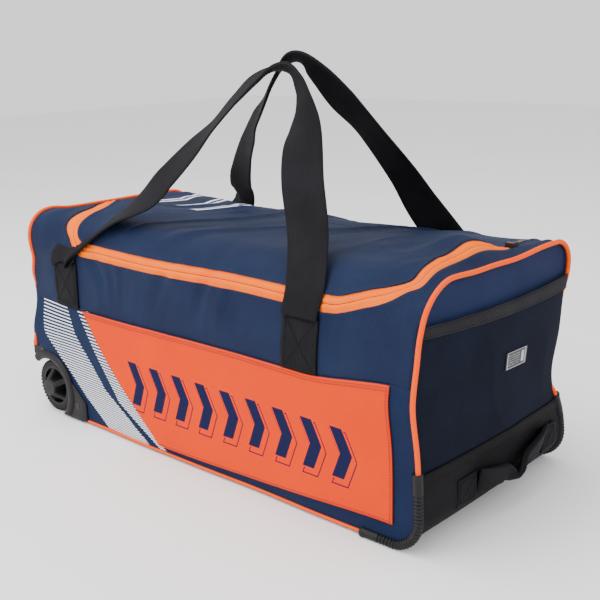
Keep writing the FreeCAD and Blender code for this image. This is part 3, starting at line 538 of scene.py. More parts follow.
def platedSteel(name, dark, light, roughness, metallic=1.0):
    # zinc-plated or enamelled metal with faint handling wear
    material, tree, shader = newMaterial(name)
    place = addNode(tree, "TexCoord")
    wear = addNode(tree, "TexNoise", {"Vector": place.outputs["Object"], "Scale": 260.0, "Detail": 6.0})
    rough = addNode(tree, "MapRange", {"Value": wear, "To Min": roughness - 0.08,
                                       "To Max": roughness + 0.12})
    colour = toneAndShadeMix(tree, wear, 0.35, 0.65, dark, light)
    finish(tree, shader, colour, rough, wear, 0.00004, 0.4, Metallic=metallic)
    return material


# cloth: deep dyed, almost without gloss; printed pieces are a little flatter, coated ones smoother
navyPolyester = polyesterCloth("navyPolyesterPlainWeave", "172040", "212e50", sheen=0.03)
stripedPolyester = polyesterCloth("navyPolyesterScreenPrinted", "121e3b", "192948", sheen=0.02,
                                  colourLink=printedStripes)
orangePolyester = polyesterCloth("orangePolyesterSatinPrint", "ee3a00", "f24400", roughness=0.70, sheen=0.0,
                                 specular=0.04, sheenTint="ff8040", pitch=0.0009, colourLink=printedChevrons)
lidPolyester = polyesterCloth("navyPolyesterLidPrint", "141c37", "1d2a46", sheen=0.03,
                              colourLink=printedOutlines)
coatedPolyester = polyesterCloth("blackPolyesterCoated", "0d0c0f", "171619", roughness=0.66, sheen=0.02,
                                 sheenTint="707078", pitch=0.0014)
pocketMesh = polyesterCloth("darkPocketMesh", "090c18", "11182b", roughness=0.80, sheen=0.02,
                            sheenTint="485474", pitch=0.0018)
# tapes and webbing: ribs catch the light in fine parallel lines, and the grooves between them are painted darker
# as shade
zipTape = wovenTape("orangeZipTape", "f25800", "f47a00", 0.0013, 0.66, 0.0, 0.00015, tint="ffa060",
                    specular=0.05)
pipingCloth = wovenTape("orangePipingCloth", "f04600", "f46000", 0.0012, 0.66, 0.0, 0.0002, tint="ffa060",
                         specular=0.05)
blackWebbing = wovenTape("blackPolypropyleneWebbing", "0c0b0d", "1d1b20", 0.0022, 0.74, 0.02, 0.0004)
blackBinding = wovenTape("blackRibbedBinding", "17161a", "2a292d", 0.0026, 0.70, 0.03, 0.00022, along=True)
# moulded pieces: a soft broad gloss broken by fine grain
guardRubber = mouldedPlastic("blackMouldedRubber", "0d0d0f", "17171a", 0.48)
housingPlastic = mouldedPlastic("charcoalMouldedPlastic", "120f12", "1b181b", 0.52)
wheelPlastic = mouldedPlastic("charcoalWheelPlastic", "110f11", "191719", 0.50)
treadRubber = mouldedPlastic("blackTreadRubber", "121113", "1c1a1d", 0.64)
boardPlastic = mouldedPlastic("blackPolyethyleneBoard", "222224", "2e2e31", 0.5)
# metal: small hard highlights with faint handling wear
bearingSteel = platedSteel("groundBearingSteel", "84868a", "a8aaae", 0.3)
axleSteel = platedSteel("zincPlatedSteel", "808286", "9c9ea2", 0.42)
rivetSteel = platedSteel("blackCoatedSteel", "1e1c20", "39363a", 0.48, 0.6)
sliderMetal = platedSteel("blackEnamelledZinc", "222226", "3a3a40", 0.38, 0.7)
navyThread = wovenTape("navyThread", "2b2a4c", "3a3860", 0.001, 0.6)
blackThread = wovenTape("blackThread", "0c0c0e", "17171a", 0.001, 0.6)
print("materials made")

# the shell of the bag

zipLine = {
    "front": 0.262,
    "left": -0.320,
    "right": 0.336,
    "corner": 0.044,
    "frontHalf": 0.0098,
    "endHalf": 0.0088,
    "leanIn": 0.052,
    "ridge": 0.0016,
    "lip": 0.0018,
}
hingeRun = shoulderEnd + 0.046 - (frontY + shell["frontShoulder"])
backSeam = topRun + 0.036


def seamRun(x):
    # the seam across the front, a little lower at the wheel end and rising at the other
    return 0.1745 + 0.003 * ease(-0.2, 0.1, x) + 0.014 * ease(0.20, 0.34, x)


def zipDistance(x, s):
    # distance from the zip's middle line, below zero on the lid: a box with rounded front corners
    middle, half = (zipLine["left"] + zipLine["right"]) / 2, (zipLine["right"] - zipLine["left"]) / 2
    across = np.abs(x - middle) - half + zipLine["corner"]
    down = zipLine["front"] - s + zipLine["corner"]
    outside = np.hypot(np.maximum(across, 0), np.maximum(down, 0))
    return outside + np.minimum(np.maximum(across, down), 0) - zipLine["corner"]


def rolledLip(x, s):
    # the folded cloth edge beside the zip stands a little proud
    away = np.abs(np.abs(zipDistance(x, s)) - zipLine["frontHalf"])
    return zipLine["lip"] * np.exp(-(away / 0.0045) ** 2)


def leanIn(x, s):
    # the opening's wheel end leans in towards the front edge, fading out along the bag and towards the hinge
    left = zipLine["left"]
    along = np.where(x < left, (x + halfLength) / (left + halfLength), 1 - ease(left, -0.08, x))
    return x + zipLine["leanIn"] * along * (1 - ease(0.33, 0.47, s)) * ease(0.20, 0.255, s)


def openingEdges(offset, endOffset, straightRows):
    # rows from the front edge of the opening to the hinge line, with the x of both rounded sides
    radius = zipLine["corner"] + offset
    angle = np.linspace(0, math.pi / 2, 14)
    front = zipLine["front"] - offset
    rows = np.concatenate([front + radius * (1 - np.cos(angle)),
                           np.linspace(front + radius, hingeRun, straightRows)[1:]])
    reach = radius * np.concatenate([1 - np.sin(angle), np.zeros(straightRows - 1)])
    return rows, zipLine["left"] - endOffset + reach, zipLine["right"] + endOffset - reach


def blockRow(left, leftEdge, rightEdge, right, counts):
    parts = [np.linspace(left, leftEdge, counts[0] + 1), np.linspace(leftEdge, rightEdge, counts[1] + 1)[1:],
             np.linspace(rightEdge, right, counts[2] + 1)[1:]]
    return np.concatenate(parts)


def upperShell():
    # front upper panel, the strips beside the lid and the fixed top in one grid with the lid's hole left out
    counts = (16, 200, 7)
    openRows, leftEdge, rightEdge = openingEdges(zipLine["frontHalf"], zipLine["endHalf"], 26)
    first = blockRow(-halfLength, leftEdge[0], rightEdge[0], halfLength, counts)
    belowCount, behindCount = 30, 34
    share = np.linspace(0, 1, belowCount)[:, None]
    below = (seamRun(first) * (1 - share) + openRows[0] * share, np.repeat(first[None], belowCount, 0))
    beside = np.stack([blockRow(-halfLength, a, b, halfLength, counts)
                       for a, b in zip(leftEdge[1:], rightEdge[1:])])
    last = beside[-1]
    behindRows = np.linspace(hingeRun, backSeam, behindCount)[1:]
    behind = (np.repeat(behindRows[:, None], len(last), 1), np.repeat(last[None], behindCount - 1, 0))
    s = np.concatenate([below[0], np.repeat(openRows[1:, None], len(last), 1), behind[0]])
    x = np.concatenate([below[1], beside, behind[1]])
    keep = np.ones((x.shape[0] - 1, x.shape[1] - 1), bool)
    keep[belowCount - 1:belowCount - 1 + len(openRows) - 1, counts[0]:counts[0] + counts[1]] = False
    x, s, keep = x.T, s.T, keep.T
    clothPatch("upperShell", leanIn(x, s), s, lidPolyester, "bag",
               ("front_upper_panel", "top_panel"), out=rolledLip(x, s), keep=keep)


def lidPanel():
    rows, leftEdge, rightEdge = openingEdges(-zipLine["frontHalf"], -zipLine["endHalf"], 34)
    share = np.linspace(0, 1, 190)[:, None]
    x = leftEdge[None] * (1 - share) + rightEdge[None] * share
    s = np.repeat(rows[None], 190, 0)
    clothPatch("lidPanel", leanIn(x, s), s, lidPolyester, "lid", ("lid_panel",),
               out=rolledLip(x, s))


def zipTapes():
    # the zip's line in x and s with its outward side, then both tapes as bands beside it
    left, right, radius, front = (zipLine[k] for k in ("left", "right", "corner", "front"))
    angle = np.linspace(0, math.pi / 2, 26)
    straight = np.linspace(hingeRun, front + radius, 60)
    cosine, sine = radius * np.cos(angle), radius * np.sin(angle)
    runs = [(np.full(60, right), straight),
            (right - radius + cosine, front + radius - sine),
            (np.linspace(right - radius, left + radius, 300), np.full(300, front)),
            (left + radius - sine, front + radius - cosine),
            (np.full(60, left), straight[::-1])]
    path = np.concatenate([np.stack(run, -1)[:-1] for run in runs] + [[(left, straight[0])]])
    forward = unit(np.gradient(path, axis=0))
    outward = np.stack([-forward[:, 1], forward[:, 0]], -1)
    length = arcLength(path)
    onFront = np.abs(outward[:, 1])
    half = zipLine["endHalf"] + (zipLine["frontHalf"] - zipLine["endHalf"]) * onFront + 0.0016
    step = np.concatenate([[0.02, 0.06, 0.12, 0.2], np.linspace(0.28, 1, 7)])
    for name, sign, body, node in (("zipTapeBag", 1, "bag", "body_zip_tape"),
                                   ("zipTapeLid", -1, "lid", "lid_zip_tape")):
        share = step if sign > 0 else -step[::-1]
        w = half[:, None] * share[None]
        place = path[:, None] + outward[:, None] * w[..., None]
        rise = zipLine["ridge"] * np.exp(-((np.abs(w) - 0.0034) / 0.0024) ** 2) + 0.0001
        uv = np.stack([np.abs(w), np.repeat(length[:, None], w.shape[1], 1)], -1)
        mesh = surface(name, bagPoint(leanIn(place[..., 0], place[..., 1]), place[..., 1], rise), uv)
        addPiece(name, mesh, zipTape, body, (node,), 0.0009)


def leftLimit(z):
    # the cloth stops under the wheel housing's slanting edge
    return np.interp(z, [0.008, 0.034, 0.103, 0.107, 0.112], [-0.259, -0.259, -0.343, -0.352, -halfLength])


def rightLimit(z):
    # the rounded lower corner at the pull-handle end
    radius = shell["endCorner"]
    below = np.clip(bottomZ + radius - z, 0, radius)
    return halfLength - (radius - np.sqrt(np.maximum(radius ** 2 - below ** 2, 0)))


orangePanel = {
    "leftTop": -0.231, "leftBottom": -0.077, "right": 0.325, "out": 0.0016, "thickness": 0.0012,
    "leftBow": 0.012, "rightLean": 0.005,
}


def orangeBottom(x):
    return 0.0050 + 0.006 * ease(-0.09, 0.2, x) + 0.010 * ease(0.1, 0.33, x)


def orangeLeft(v):
    return (orangePanel["leftBottom"] * (1 - v) + orangePanel["leftTop"] * v
            - orangePanel["leftBow"] * np.sin(v * math.pi))


def frontLower():
    columns, rows = 150, 54
    share = np.linspace(0, 1, columns)[:, None]
    v = np.linspace(0, 1, rows)[None]
    lowest = -0.003
    s = lowest + v * (0.1745 - lowest) + 0 * share
    z = s + sideStart
    x = leftLimit(z) * (1 - share) + rightLimit(z) * share
    s = lowest + v * (seamRun(x) - lowest)
    piece = clothPatch("frontLowerPanel", x, s, stripedPolyester, "bag",
                       ("front_lower_panel",))
    z = s + sideStart
    first = np.interp(z, [0.005, 0.044, 0.096, 0.134, 0.165], [-0.194, -0.246, -0.301, -0.331, -0.338])
    second = np.interp(z, [0.007, 0.068, 0.142, 0.194], [-0.098, -0.196, -0.255, -0.276])
    third = np.interp(z, [0.004, 0.055, 0.121, 0.179, 0.190], [-0.072, -0.165, -0.211, -0.245, -0.254])
    fourth = np.interp(z, [0, 0.017, 0.101, 0.19], [-0.055, -0.078, -0.160, -0.222])
    across = np.select([x < second, x < third],
                       [(x - first) / (second - first), 1 + (x - second) / (third - second)],
                       2 + (x - third) / (fourth - third))
    finest, widest = 0.0025, 0.0056
    pitch = finest + (widest - finest) * np.clip(z, 0, 0.2) / 0.19
    phase = 0.19 / (widest - finest) * np.log(pitch / finest) + 0.60 * (x + 0.2) / 0.1
    uv = np.stack([across, phase], -1)
    corners = np.stack([uv[:-1, :-1], uv[1:, :-1], uv[1:, 1:], uv[:-1, 1:]], -2).astype(np.float32)
    piece.data.uv_layers.new(name="ribbon").uv.foreach_set("vector", corners.ravel())


def orangeFront():
    columns, rows = 150, 50
    u, v = np.linspace(0, 1, columns)[:, None], np.linspace(0, 1, rows)[None]
    x = orangeLeft(v) * (1 - u) + (orangePanel["right"] + orangePanel["rightLean"] * v) * u
    s = orangeBottom(x) * (1 - v) + (seamRun(x) - 0.0008) * v
    edge = np.minimum(np.minimum(v * 0.165, (1 - v) * 0.165), (1 - u) * 0.5)
    hem = 0.0007 * np.exp(-(edge / 0.007) ** 2) + orangePanel["out"]
    clothPatch("orangeFrontPanel", x, s, orangePolyester, "bag", ("front_print_panel",),
               out=hem, thickness=orangePanel["thickness"])
    along = np.linspace(0.005, 0.995, 240)
    threads = []
    for inset in (0.0028, 0.0062):
        lineX = orangeLeft(1.0) * (1 - along) + (orangePanel["right"] + 0.003) * along
        threads.append((lineX, seamRun(lineX) - 0.0008 - inset))
    inset = 0.0030
    lineX = orangePanel["right"] - inset + orangePanel["rightLean"] * along
    low, high = orangeBottom(lineX), seamRun(lineX) - 0.001
    threads.append((lineX, low + (high - low) * along))
    lineX = orangeLeft(0.0) * (1 - along) + orangePanel["right"] * along
    threads.append((lineX, orangeBottom(lineX) + inset))
    outward = np.repeat([[0.0, -1.0, 0.0]], len(along), 0)
    rows = [stitchRow(bagPoint(a, b, 0.0029), outward, radius=0.00035, **boxStitch) for a, b in threads]
    addPiece("orangePanelThread", joinMeshes("orangePanelThread", rows), navyThread, "bag")


def backPanel():
    columns, rows = 130, 60
    u, v = np.linspace(0, 1, columns)[:, None], np.linspace(0, 1, rows)[None]
    s = backSeam + v * (wholeRun + 0.003 - backSeam) + 0 * u
    z = section(s)[1]
    x = leftLimit(z) * (1 - u) + rightLimit(z) * u
    clothPatch("backPanel", x, s, navyPolyester, "bag", ("back_panel",))


# the two ends

def endRuns(z):
    # where a level meets the section's front and back
    front, back = shell["frontShoulder"], shell["backShoulder"]
    frontS = np.where(z < topZ - front, z - sideStart,
                      frontRun + front * np.arcsin(np.clip((z - topZ + front) / front, 0, 1)))
    backS = np.where(z < topZ - back, backStart + (topZ - back) - z,
                     backStart - back * np.arcsin(np.clip((z - topZ + back) / back, 0, 1)))
    return frontS, backS


def endPoint(side, v, z, out=0.0, puff=0.006):
    # across an end from its front rim to its back rim at a level, filled out by a shallow cushion shape
    v, z = np.broadcast_arrays(np.asarray(v, float), np.asarray(z, float))
    frontS, backS = endRuns(z)
    edge = rightLimit(z) if side > 0 else np.full(z.shape, -halfLength)
    front, back = bagPoint(edge, frontS), bagPoint(edge, backS)
    point = front * (1 - v[..., None]) + back * v[..., None]
    rim = bagPoint(np.full(z.shape, side * halfLength), shoulderEnd + (topRun - shoulderEnd) * v)
    flatFront = bagPoint(side * halfLength, shoulderEnd)
    flatBack = bagPoint(side * halfLength, topRun)
    straight = flatFront * (1 - v[..., None]) + flatBack * v[..., None]
    share = np.clip((z - 0.20) / (topZ - 0.20), 0, 1) ** 3
    point = point + (rim - straight) * share[..., None]
    cushion = np.sin(math.pi * np.clip(v, 0, 1)) ** 0.6
    cushion = cushion * np.sin(math.pi * np.clip((z - 0.005) / 0.304, 0, 1)) ** 0.6
    ripple = 0.0016 * crease(v / 0.33 + z / 0.16, v / 0.5 - z / 0.11, 61) * cushion
    push = (puff * cushion + ripple + out) * side
    return point + np.stack([push, 0 * push, 0 * push], -1)


def endPatch(name, side, v, z, material, nodes=(), out=0.0, puff=0.006, thickness=None):
    v, z = np.broadcast_arrays(v, z)
    points = endPoint(side, v, z, out, puff)
    uv = np.stack([v * (backY - frontY), z], -1)
    mesh = surface(name, points, uv, flip=side < 0)
    return addPiece(name, mesh, material, "bag", nodes,
                    shell["clothThickness"] if thickness is None else thickness)


endPieces = {
    "pocketTopFront": 0.2655, "pocketTopBack": 0.2610, "bindingWidth": 0.0175, "wrapTopFront": 0.099,
    "wrapTopBack": 0.098, "recess": -0.0035, "pocketSag": 0.004,
}


def levels(frontValue, backValue, v):
    return frontValue * (1 - v) + backValue * v


def ends():
    v = np.linspace(0, 1, 70)[:, None]
    angle = np.linspace(0, math.pi / 2, 16)
    upper = topZ - 0.060 + 0.060 * np.sin(angle)
    z = np.concatenate([np.linspace(0.085, topZ - 0.060, 34)[:-1], upper])[None]
    endPatch("rightEndPanel", 1, v, z, navyPolyester, ("right_end_panel",),
             endPieces["recess"])
    z = np.concatenate([np.linspace(0.1035, topZ - 0.060, 34)[:-1], upper])[None]
    endPatch("leftEndPanel", -1, v, z, navyPolyester, ("left_end_panel",), -0.001, 0.008)
    inner = np.linspace(0.10, 0.90, 50)[:, None]
    endPatch("leftEndLower", -1, inner, np.linspace(0.0055, 0.1036, 20)[None], coatedPolyester,
             (), -0.001, 0.008)

    t = np.linspace(0, 1, 44)[None]
    edge = np.linspace(0.004, 0.996, 80)[:, None]
    pocketTop = levels(endPieces["pocketTopFront"], endPieces["pocketTopBack"], edge)
    pocketTop = pocketTop - endPieces["pocketSag"] * np.sin(math.pi * edge)
    wrapTop = levels(endPieces["wrapTopFront"], endPieces["wrapTopBack"], edge)
    endPatch("endPocket", 1, edge, wrapTop * (1 - t) + (pocketTop - 0.002) * t, pocketMesh,
             ("end_pocket",), 0.0, 0.008)
    bindingShare = np.linspace(0, 1, 12)[None]
    drop = endPieces["bindingWidth"] * (0.75 + 0.35 * edge)
    crown = 0.0008 * np.sin(math.pi * bindingShare) ** 0.5
    binding = pocketTop - drop * (1 - bindingShare)
    endPatch("pocketBinding", 1, edge, binding, blackBinding, ("pocket_binding",),
             0.0018 + crown, 0.0085, 0.0014)
    lower = wrapTop - endPieces["bindingWidth"] * (1 - bindingShare) * 0.95
    endPatch("baseBinding", 1, edge, lower, coatedPolyester, ("base_binding",),
             0.0016 + crown * 0.6, 0.0075, 0.0014)
    flatV = edge[:, 0]
    up = np.repeat([[1.0, 0.0, 0.0]], len(flatV), 0)
    rows = []
    for level, height in ((pocketTop[:, 0] - 0.0022, 0.0034), (pocketTop[:, 0] - drop[:, 0] + 0.0022, 0.0034),
                          (wrapTop[:, 0] - 0.0024, 0.0030), (lower[:, 0] + 0.0022, 0.0030)):
        rows.append(stitchRow(endPoint(1, flatV, level, height, 0.0085), up, pitch=0.004, length=0.0028))
    addPiece("endThread", joinMeshes("endThread", rows), blackThread, "bag")


def basePanel():
    # the coated base: flat between the wheels, rounded up over the pull-handle end
    radius = shell["endCorner"]
    angle = np.linspace(0, math.pi / 2, 14)
    flat = np.linspace(-0.262, halfLength - radius, 70)
    z = np.concatenate([np.full(70, bottomZ), bottomZ + radius * (1 - np.cos(angle[1:])),
                        np.linspace(bottomZ + radius, 0.0975, 22)[1:]])
    x = np.concatenate([flat, halfLength - radius + radius * np.sin(angle[1:]), np.full(21, halfLength)])
    run = arcLength(np.stack([x, z], -1))
    v = np.linspace(0, 1, 50)
    frontEdge = bagPoint(x, z - sideStart)
    backEdge = bagPoint(x, wholeRun - (z - sideStart))
    points = frontEdge[:, None] * (1 - v[None, :, None]) + backEdge[:, None] * v[None, :, None]
    bow = np.sin(math.pi * v)[None, :] ** 0.6
    climb = ease(0.0, radius, z - bottomZ)[:, None]
    soft = 0.0025 * noise(run[:, None] / 0.05, v[None] / 0.17, 71) * climb
    points[..., 0] += (0.006 * bow + soft) * climb
    points[..., 2] -= 0.002 * bow * (1 - climb)
    uv = np.stack(np.broadcast_arrays(run[:, None], v[None] * 0.324), -1)
    mesh = surface("basePanel", points, uv, flip=True)
    addPiece("basePanel", mesh, coatedPolyester, "bag", ("base_panel",), 0.002)
    x = np.linspace(-halfLength, -0.2615, 20)[:, None]
    y = np.linspace(-0.129, 0.129, 40)[None]
    points = np.stack(np.broadcast_arrays(x, y, np.full((20, 40), bottomZ)), -1)
    mesh = surface("baseBetweenWheels", points, points[..., :2], flip=True)
    addPiece("baseBetweenWheels", mesh, coatedPolyester, "bag", (), 0.002)


# piping and corner guards

piping = {
    "radius": 0.0030, "tuck": 0.0006, "deep": 0.0048, "points": 260,
    "fade": 0.03, "bottomRadius": 0.0019, "bottomPoints": 120,
}
guard = {"radius": 0.0058, "ribs": 36, "ribDepth": 0.0024, "collar": 0.0006, "points": 460}


def pipingPieces():
    sideways = np.array([[1.0, 0.0, 0.0]])
    for name, side, node, low in (("rightPiping", 1, "right_end_piping", 0.0995),
                                  ("leftPiping", -1, "left_end_piping", 0.1065)):
        start = low - sideStart
        end, fade = wholeRun - start, piping["fade"]
        run = np.linspace(start, end, piping["points"])
        if side < 0:
            hidden = (1 - ease(0.17, 0.235, run)) * ease(start, start + fade, run)
        else:
            hidden = ease(0.625, 0.68, run) * (1 - ease(end - fade, end, run))
        deep = piping["deep"] * hidden
        path = bagPoint(side * (halfLength + 0.0008 - deep), run, piping["tuck"] - deep)
        mesh = sweep(name, path, np.repeat(sideways, piping["points"], 0), ring(piping["radius"], 14))
        addPiece(name, mesh, pipingCloth, "bag", (node,), weld=True)
    for name, face, node in (("frontBottomPiping", -1, "front_bottom_piping"),
                             ("backBottomPiping", 1, "back_bottom_piping")):
        count = piping["bottomPoints"]
        x = np.linspace(-0.2485, 0.282, count)
        s = np.full(count, bottomZ - sideStart + 0.0005)
        path = bagPoint(x, s if face < 0 else wholeRun - s, 0.0004)
        mesh = sweep(name, path, np.repeat([[0.0, 0.0, 1.0]], count, 0), ring(piping["bottomRadius"], 12))
        addPiece(name, mesh, pipingCloth, "bag", (node,), weld=True)


def cornerGuards():
    # a ribbed sleeve round the lower corner: its radius rises and falls along the bend
    radius = shell["endCorner"]
    angle = np.linspace(0, math.pi / 2, 200)
    x = np.concatenate([np.linspace(0.280, halfLength - radius, 70)[:-1],
                        halfLength - radius + radius * np.sin(angle), np.full(80, halfLength)[1:]])
    z = np.concatenate([np.full(69, bottomZ), bottomZ + radius * (1 - np.cos(angle)),
                        np.linspace(bottomZ + radius, 0.102, 80)[1:]])
    for name, face, node in (("frontGuard", -1, "corner_guard_front"), ("backGuard", 1, "corner_guard_back")):
        run = z - sideStart
        path = bagPoint(x, run if face < 0 else wholeRun - run, 0.0006)
        path[:, 2] = np.maximum(path[:, 2], guard["radius"] - 0.0004)
        path = resample(path, guard["points"])
        length = arcLength(path)
        ribbed = ease(0.022, 0.026, length) * (1 - ease(0.133, 0.138, length))
        wave = np.abs(np.sin(length / length[-1] * math.pi * guard["ribs"])) ** 0.5
        size = guard["radius"] - ribbed * guard["ribDepth"] * (1 - wave)
        collar = guard["collar"] * (np.exp(-((length - 0.003) / 0.003) ** 2)
                                    + np.exp(-((length - length[-1]) / 0.003) ** 2))
        size = (size + collar) / guard["radius"]
        mesh = sweep(name, path, np.repeat([[0.0, 1.0, 0.0]], len(path), 0), ring(guard["radius"], 16),
                     np.stack([size, size], -1))
        addPiece(name, mesh, guardRubber, "bag", (node,), weld=True)


# carry handles

strap = {
    "width": 0.057, "thickness": 0.0026, "gap": 0.0030, "reference": (-0.6505, 0.7119, -0.2647),
    "footRuns": (0.2420, 0.2500), "footTurn": (42.4, 137.6), "points": 420,
    "stitchInset": 0.006, "stitchBottom": 0.1815, "stitchTop": 0.2385,
}

# stations up each leg in millimetres: x, y, z, turn of the webbing in degrees, share of its full width
frontLeft = [(-244, -155, 274, 60, 0.62), (-221, -143, 292, 71, 0.78), (-184, -126, 319, 71, 0.95),
             (-137, -107, 350, 50, 1), (-109, -93, 380, 51, 1), (-80, -73, 415, 58, 1), (-55, -54, 447, 71, 1),
             (-33, -35, 479, 69, 0.9), (-7, -25, 503, 62, 0.7)]
frontRight = [(196, -157, 284, 142, 1), (170, -121, 335, 148, 1), (134, -88, 389, 155, 1), (114, -65, 426, 150, 1),
              (100, -46, 454, 130, 1), (86, -32, 480, 110, 0.9), (70, -21, 501, 101, 0.7)]
backLeft = [(-236, 162, 284, 44, 1), (-212, 148, 306, 44, 1), (-185, 122, 346, 46, 1), (-145, 94, 390, 53, 1),
            (-99, 67, 432, 60, 1), (-62, 47, 462, 70, 0.9), (-12, 21, 502, 72, 0.7)]
backRight = [(176, 156, 288, 140, 1), (158, 132, 329, 134, 1), (144, 102, 377, 120, 1), (120, 58, 440, 109, 1),
             (96, 34, 478, 115, 1), (77, 16, 508, 114, 0.8)]
apexFront = [(20, -16, 517, 72, 0.6), (50, -16, 517, 92, 0.6)]
apexBack = [(20, 12, 524, 76, 0.6), (50, 8, 529, 98, 0.7)]


def handleFoot(centre, face, turn):
    # the first stations lie on the bag's own face
    rows = []
    for run in strap["footRuns"]:
        s = run if face < 0 else wholeRun - run
        x, y, z = bagPoint(centre, s, strap["gap"] + 0.001)
        rows.append((x * 1000, y * 1000, z * 1000, turn, 1))
    return rows


def handleLoop(name, face, left, right, top, leftFoot, rightFoot, body, node):
    # two legs and the gathered top as one ribbon; its width turns about its own line by the given angles,
    # counted from square to the reference direction
    leftTurn, rightTurn = strap["footTurn"]
    stations = np.array(handleFoot(leftFoot, face, leftTurn) + left + top + right[::-1]
                        + handleFoot(rightFoot, face, rightTurn)[::-1], float)
    line = smoothLine(stations, strap["points"])
    path = line[:, :3] / 1000
    along = unit(np.gradient(path, axis=0))
    reference = np.array(strap["reference"])
    flat = unit(np.cross(along, reference))
    cross = unit(reference - along * np.sum(reference * along, -1, keepdims=True))
    turn = np.radians(line[:, 3])[:, None]
    sideways = flat * np.cos(turn) + cross * np.sin(turn)
    width = np.clip(line[:, 4], 0.4, 1)
    scale = np.stack([width, 1 + (1 / width - 1) * 1.6], -1)
    mesh = sweep(name, path, sideways, strapProfile(strap["width"], strap["thickness"]), scale)
    addPiece(name, mesh, blackWebbing, body, (node,), weld=True)


def handleFeet():
    # each foot is the webbing's own end laid on the face and sewn down with a crossed box
    for name, face, node in (("frontHandleFeet", -1, "front_handle_anchors"),
                             ("backHandleFeet", 1, "back_handle_anchors")):
        feet, threads = [], []
        for low, high in (footSpan(node, 0), footSpan(node, 1)):
            u, v = np.linspace(0, 1, 16)[:, None], np.linspace(0, 1, 18)[None]
            x = low + (high - low) * u + 0 * v
            run = seamRun(x) + 0.001 + (0.2425 - seamRun(x) - 0.001) * v
            s = run if face < 0 else wholeRun - run
            mesh = surface("foot", bagPoint(x, s, strap["gap"]), np.stack([x - low, run], -1), flip=face > 0)
            feet.append(mesh)
            inset, bottom, top = strap["stitchInset"], strap["stitchBottom"], strap["stitchTop"]
            for lineX, lineRun in crossedBox(low + inset, high - inset, bottom, top, 30):
                path = bagPoint(lineX, lineRun if face < 0 else wholeRun - lineRun, strap["gap"] + 0.0004)
                threads.append(stitchRow(path, np.repeat([[0.0, float(face), 0.0]], 30, 0), **boxStitch))
        addPiece(name, joinMeshes(name, feet), blackWebbing, "bag", (node,),
                 strap["thickness"])
        addPiece(name + "Thread", joinMeshes(name + "Thread", threads), blackThread, "bag")


def footSpan(node, which):
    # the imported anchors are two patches, one each side of the middle
    place = np.array([v.co[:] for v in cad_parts[node].data.vertices])
    mine = place[place[:, 0] < 0] if which == 0 else place[place[:, 0] > 0]
    return mine[:, 0].min() + 0.0005, mine[:, 0].max() - 0.0005


def carryHandles():
    spans = [footSpan("front_handle_anchors", k) for k in (0, 1)]
    middles = [sum(span) / 2 for span in spans]
    handleLoop("frontCarryHandle", -1, frontLeft, frontRight, apexFront, middles[0], middles[1],
               "carry_handle_front", "front_handle")
    handleLoop("backCarryHandle", 1, backLeft, backRight, apexBack, middles[0], middles[1],
               "carry_handle_back", "back_handle")
    handleFeet()


# pull handle, label

pull = {"width": 0.034, "thickness": 0.0024}


def pullHandle():
    # sewn feet low on the end, and between them a loop of webbing folded round itself into a soft grip
    lowCorner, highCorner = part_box("pull_handle")
    start, end = lowCorner[1], highCorner[1]
    count = 120
    t = np.linspace(0, 1, count)
    y = start + (end - start) * t
    z = 0.056 - 0.010 * np.sin(math.pi * t) - 0.014 * np.exp(-((t - 0.47) / 0.09) ** 2) + 0.006 * t
    bow = np.sin(math.pi * t) ** 0.5
    surfaceX = endPoint(1, 0.5 + y / 0.324, np.full(count, 0.055), 0.002, 0.0075)[:, 0]
    x = np.minimum(surfaceX + 0.0012 + 0.0065 * bow, 0.3765)
    path = np.stack([x, y, z], -1)
    angle = np.radians(14 + 50 * np.exp(-((t - 0.47) / 0.10) ** 2))
    sideways = np.stack([np.sin(angle), 0 * angle, np.cos(angle)], -1)
    pinch = 1 - 0.34 * bow - 0.30 * np.exp(-((t - 0.47) / 0.07) ** 2)
    thick = 1 + 2.6 * bow - 1.2 * np.exp(-((t - 0.47) / 0.05) ** 2)
    mesh = sweep("pullHandle", path, sideways, strapProfile(pull["width"], pull["thickness"], 10),
                 np.stack([pinch, thick], -1))
    addPiece("pullHandle", mesh, blackWebbing, "end_handle", ("pull_handle",), weld=True)
    place = np.array([v.co[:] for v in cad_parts["pull_handle_anchors"].data.vertices])
    feet, threads = [], []
    for mine in (place[place[:, 1] < 0.02], place[place[:, 1] > 0.02]):
        near, far = mine[:, 1].min(), mine[:, 1].max()
        low, high = mine[:, 2].min(), mine[:, 2].max()
        u, v = np.linspace(0, 1, 14)[:, None], np.linspace(0, 1, 12)[None]
        across = (near + (far - near) * u - frontY) / (backY - frontY) + 0 * v
        z = low + (high - low) * v + 0 * u
        mesh = surface("foot", endPoint(1, across, z, 0.0030, 0.0075), np.stack([z, across * 0.324], -1))
        feet.append(mesh)
        for shareY, shareZ in crossedBox(0.12, 0.88, 0.12, 0.88, 24):
            lineV = (near + (far - near) * shareY - frontY) / (backY - frontY)
            lineZ = low + (high - low) * shareZ
            threads.append(stitchRow(endPoint(1, lineV, lineZ, 0.0034, 0.0075),
                                     np.repeat([[1.0, 0.0, 0.0]], 24, 0), **boxStitch))
    addPiece("pullHandleFeet", joinMeshes("pullHandleFeet", feet), blackWebbing, "bag",
             ("pull_handle_anchors",), 0.002)
    addPiece("pullHandleThread", joinMeshes("pullHandleThread", threads), blackThread, "bag")


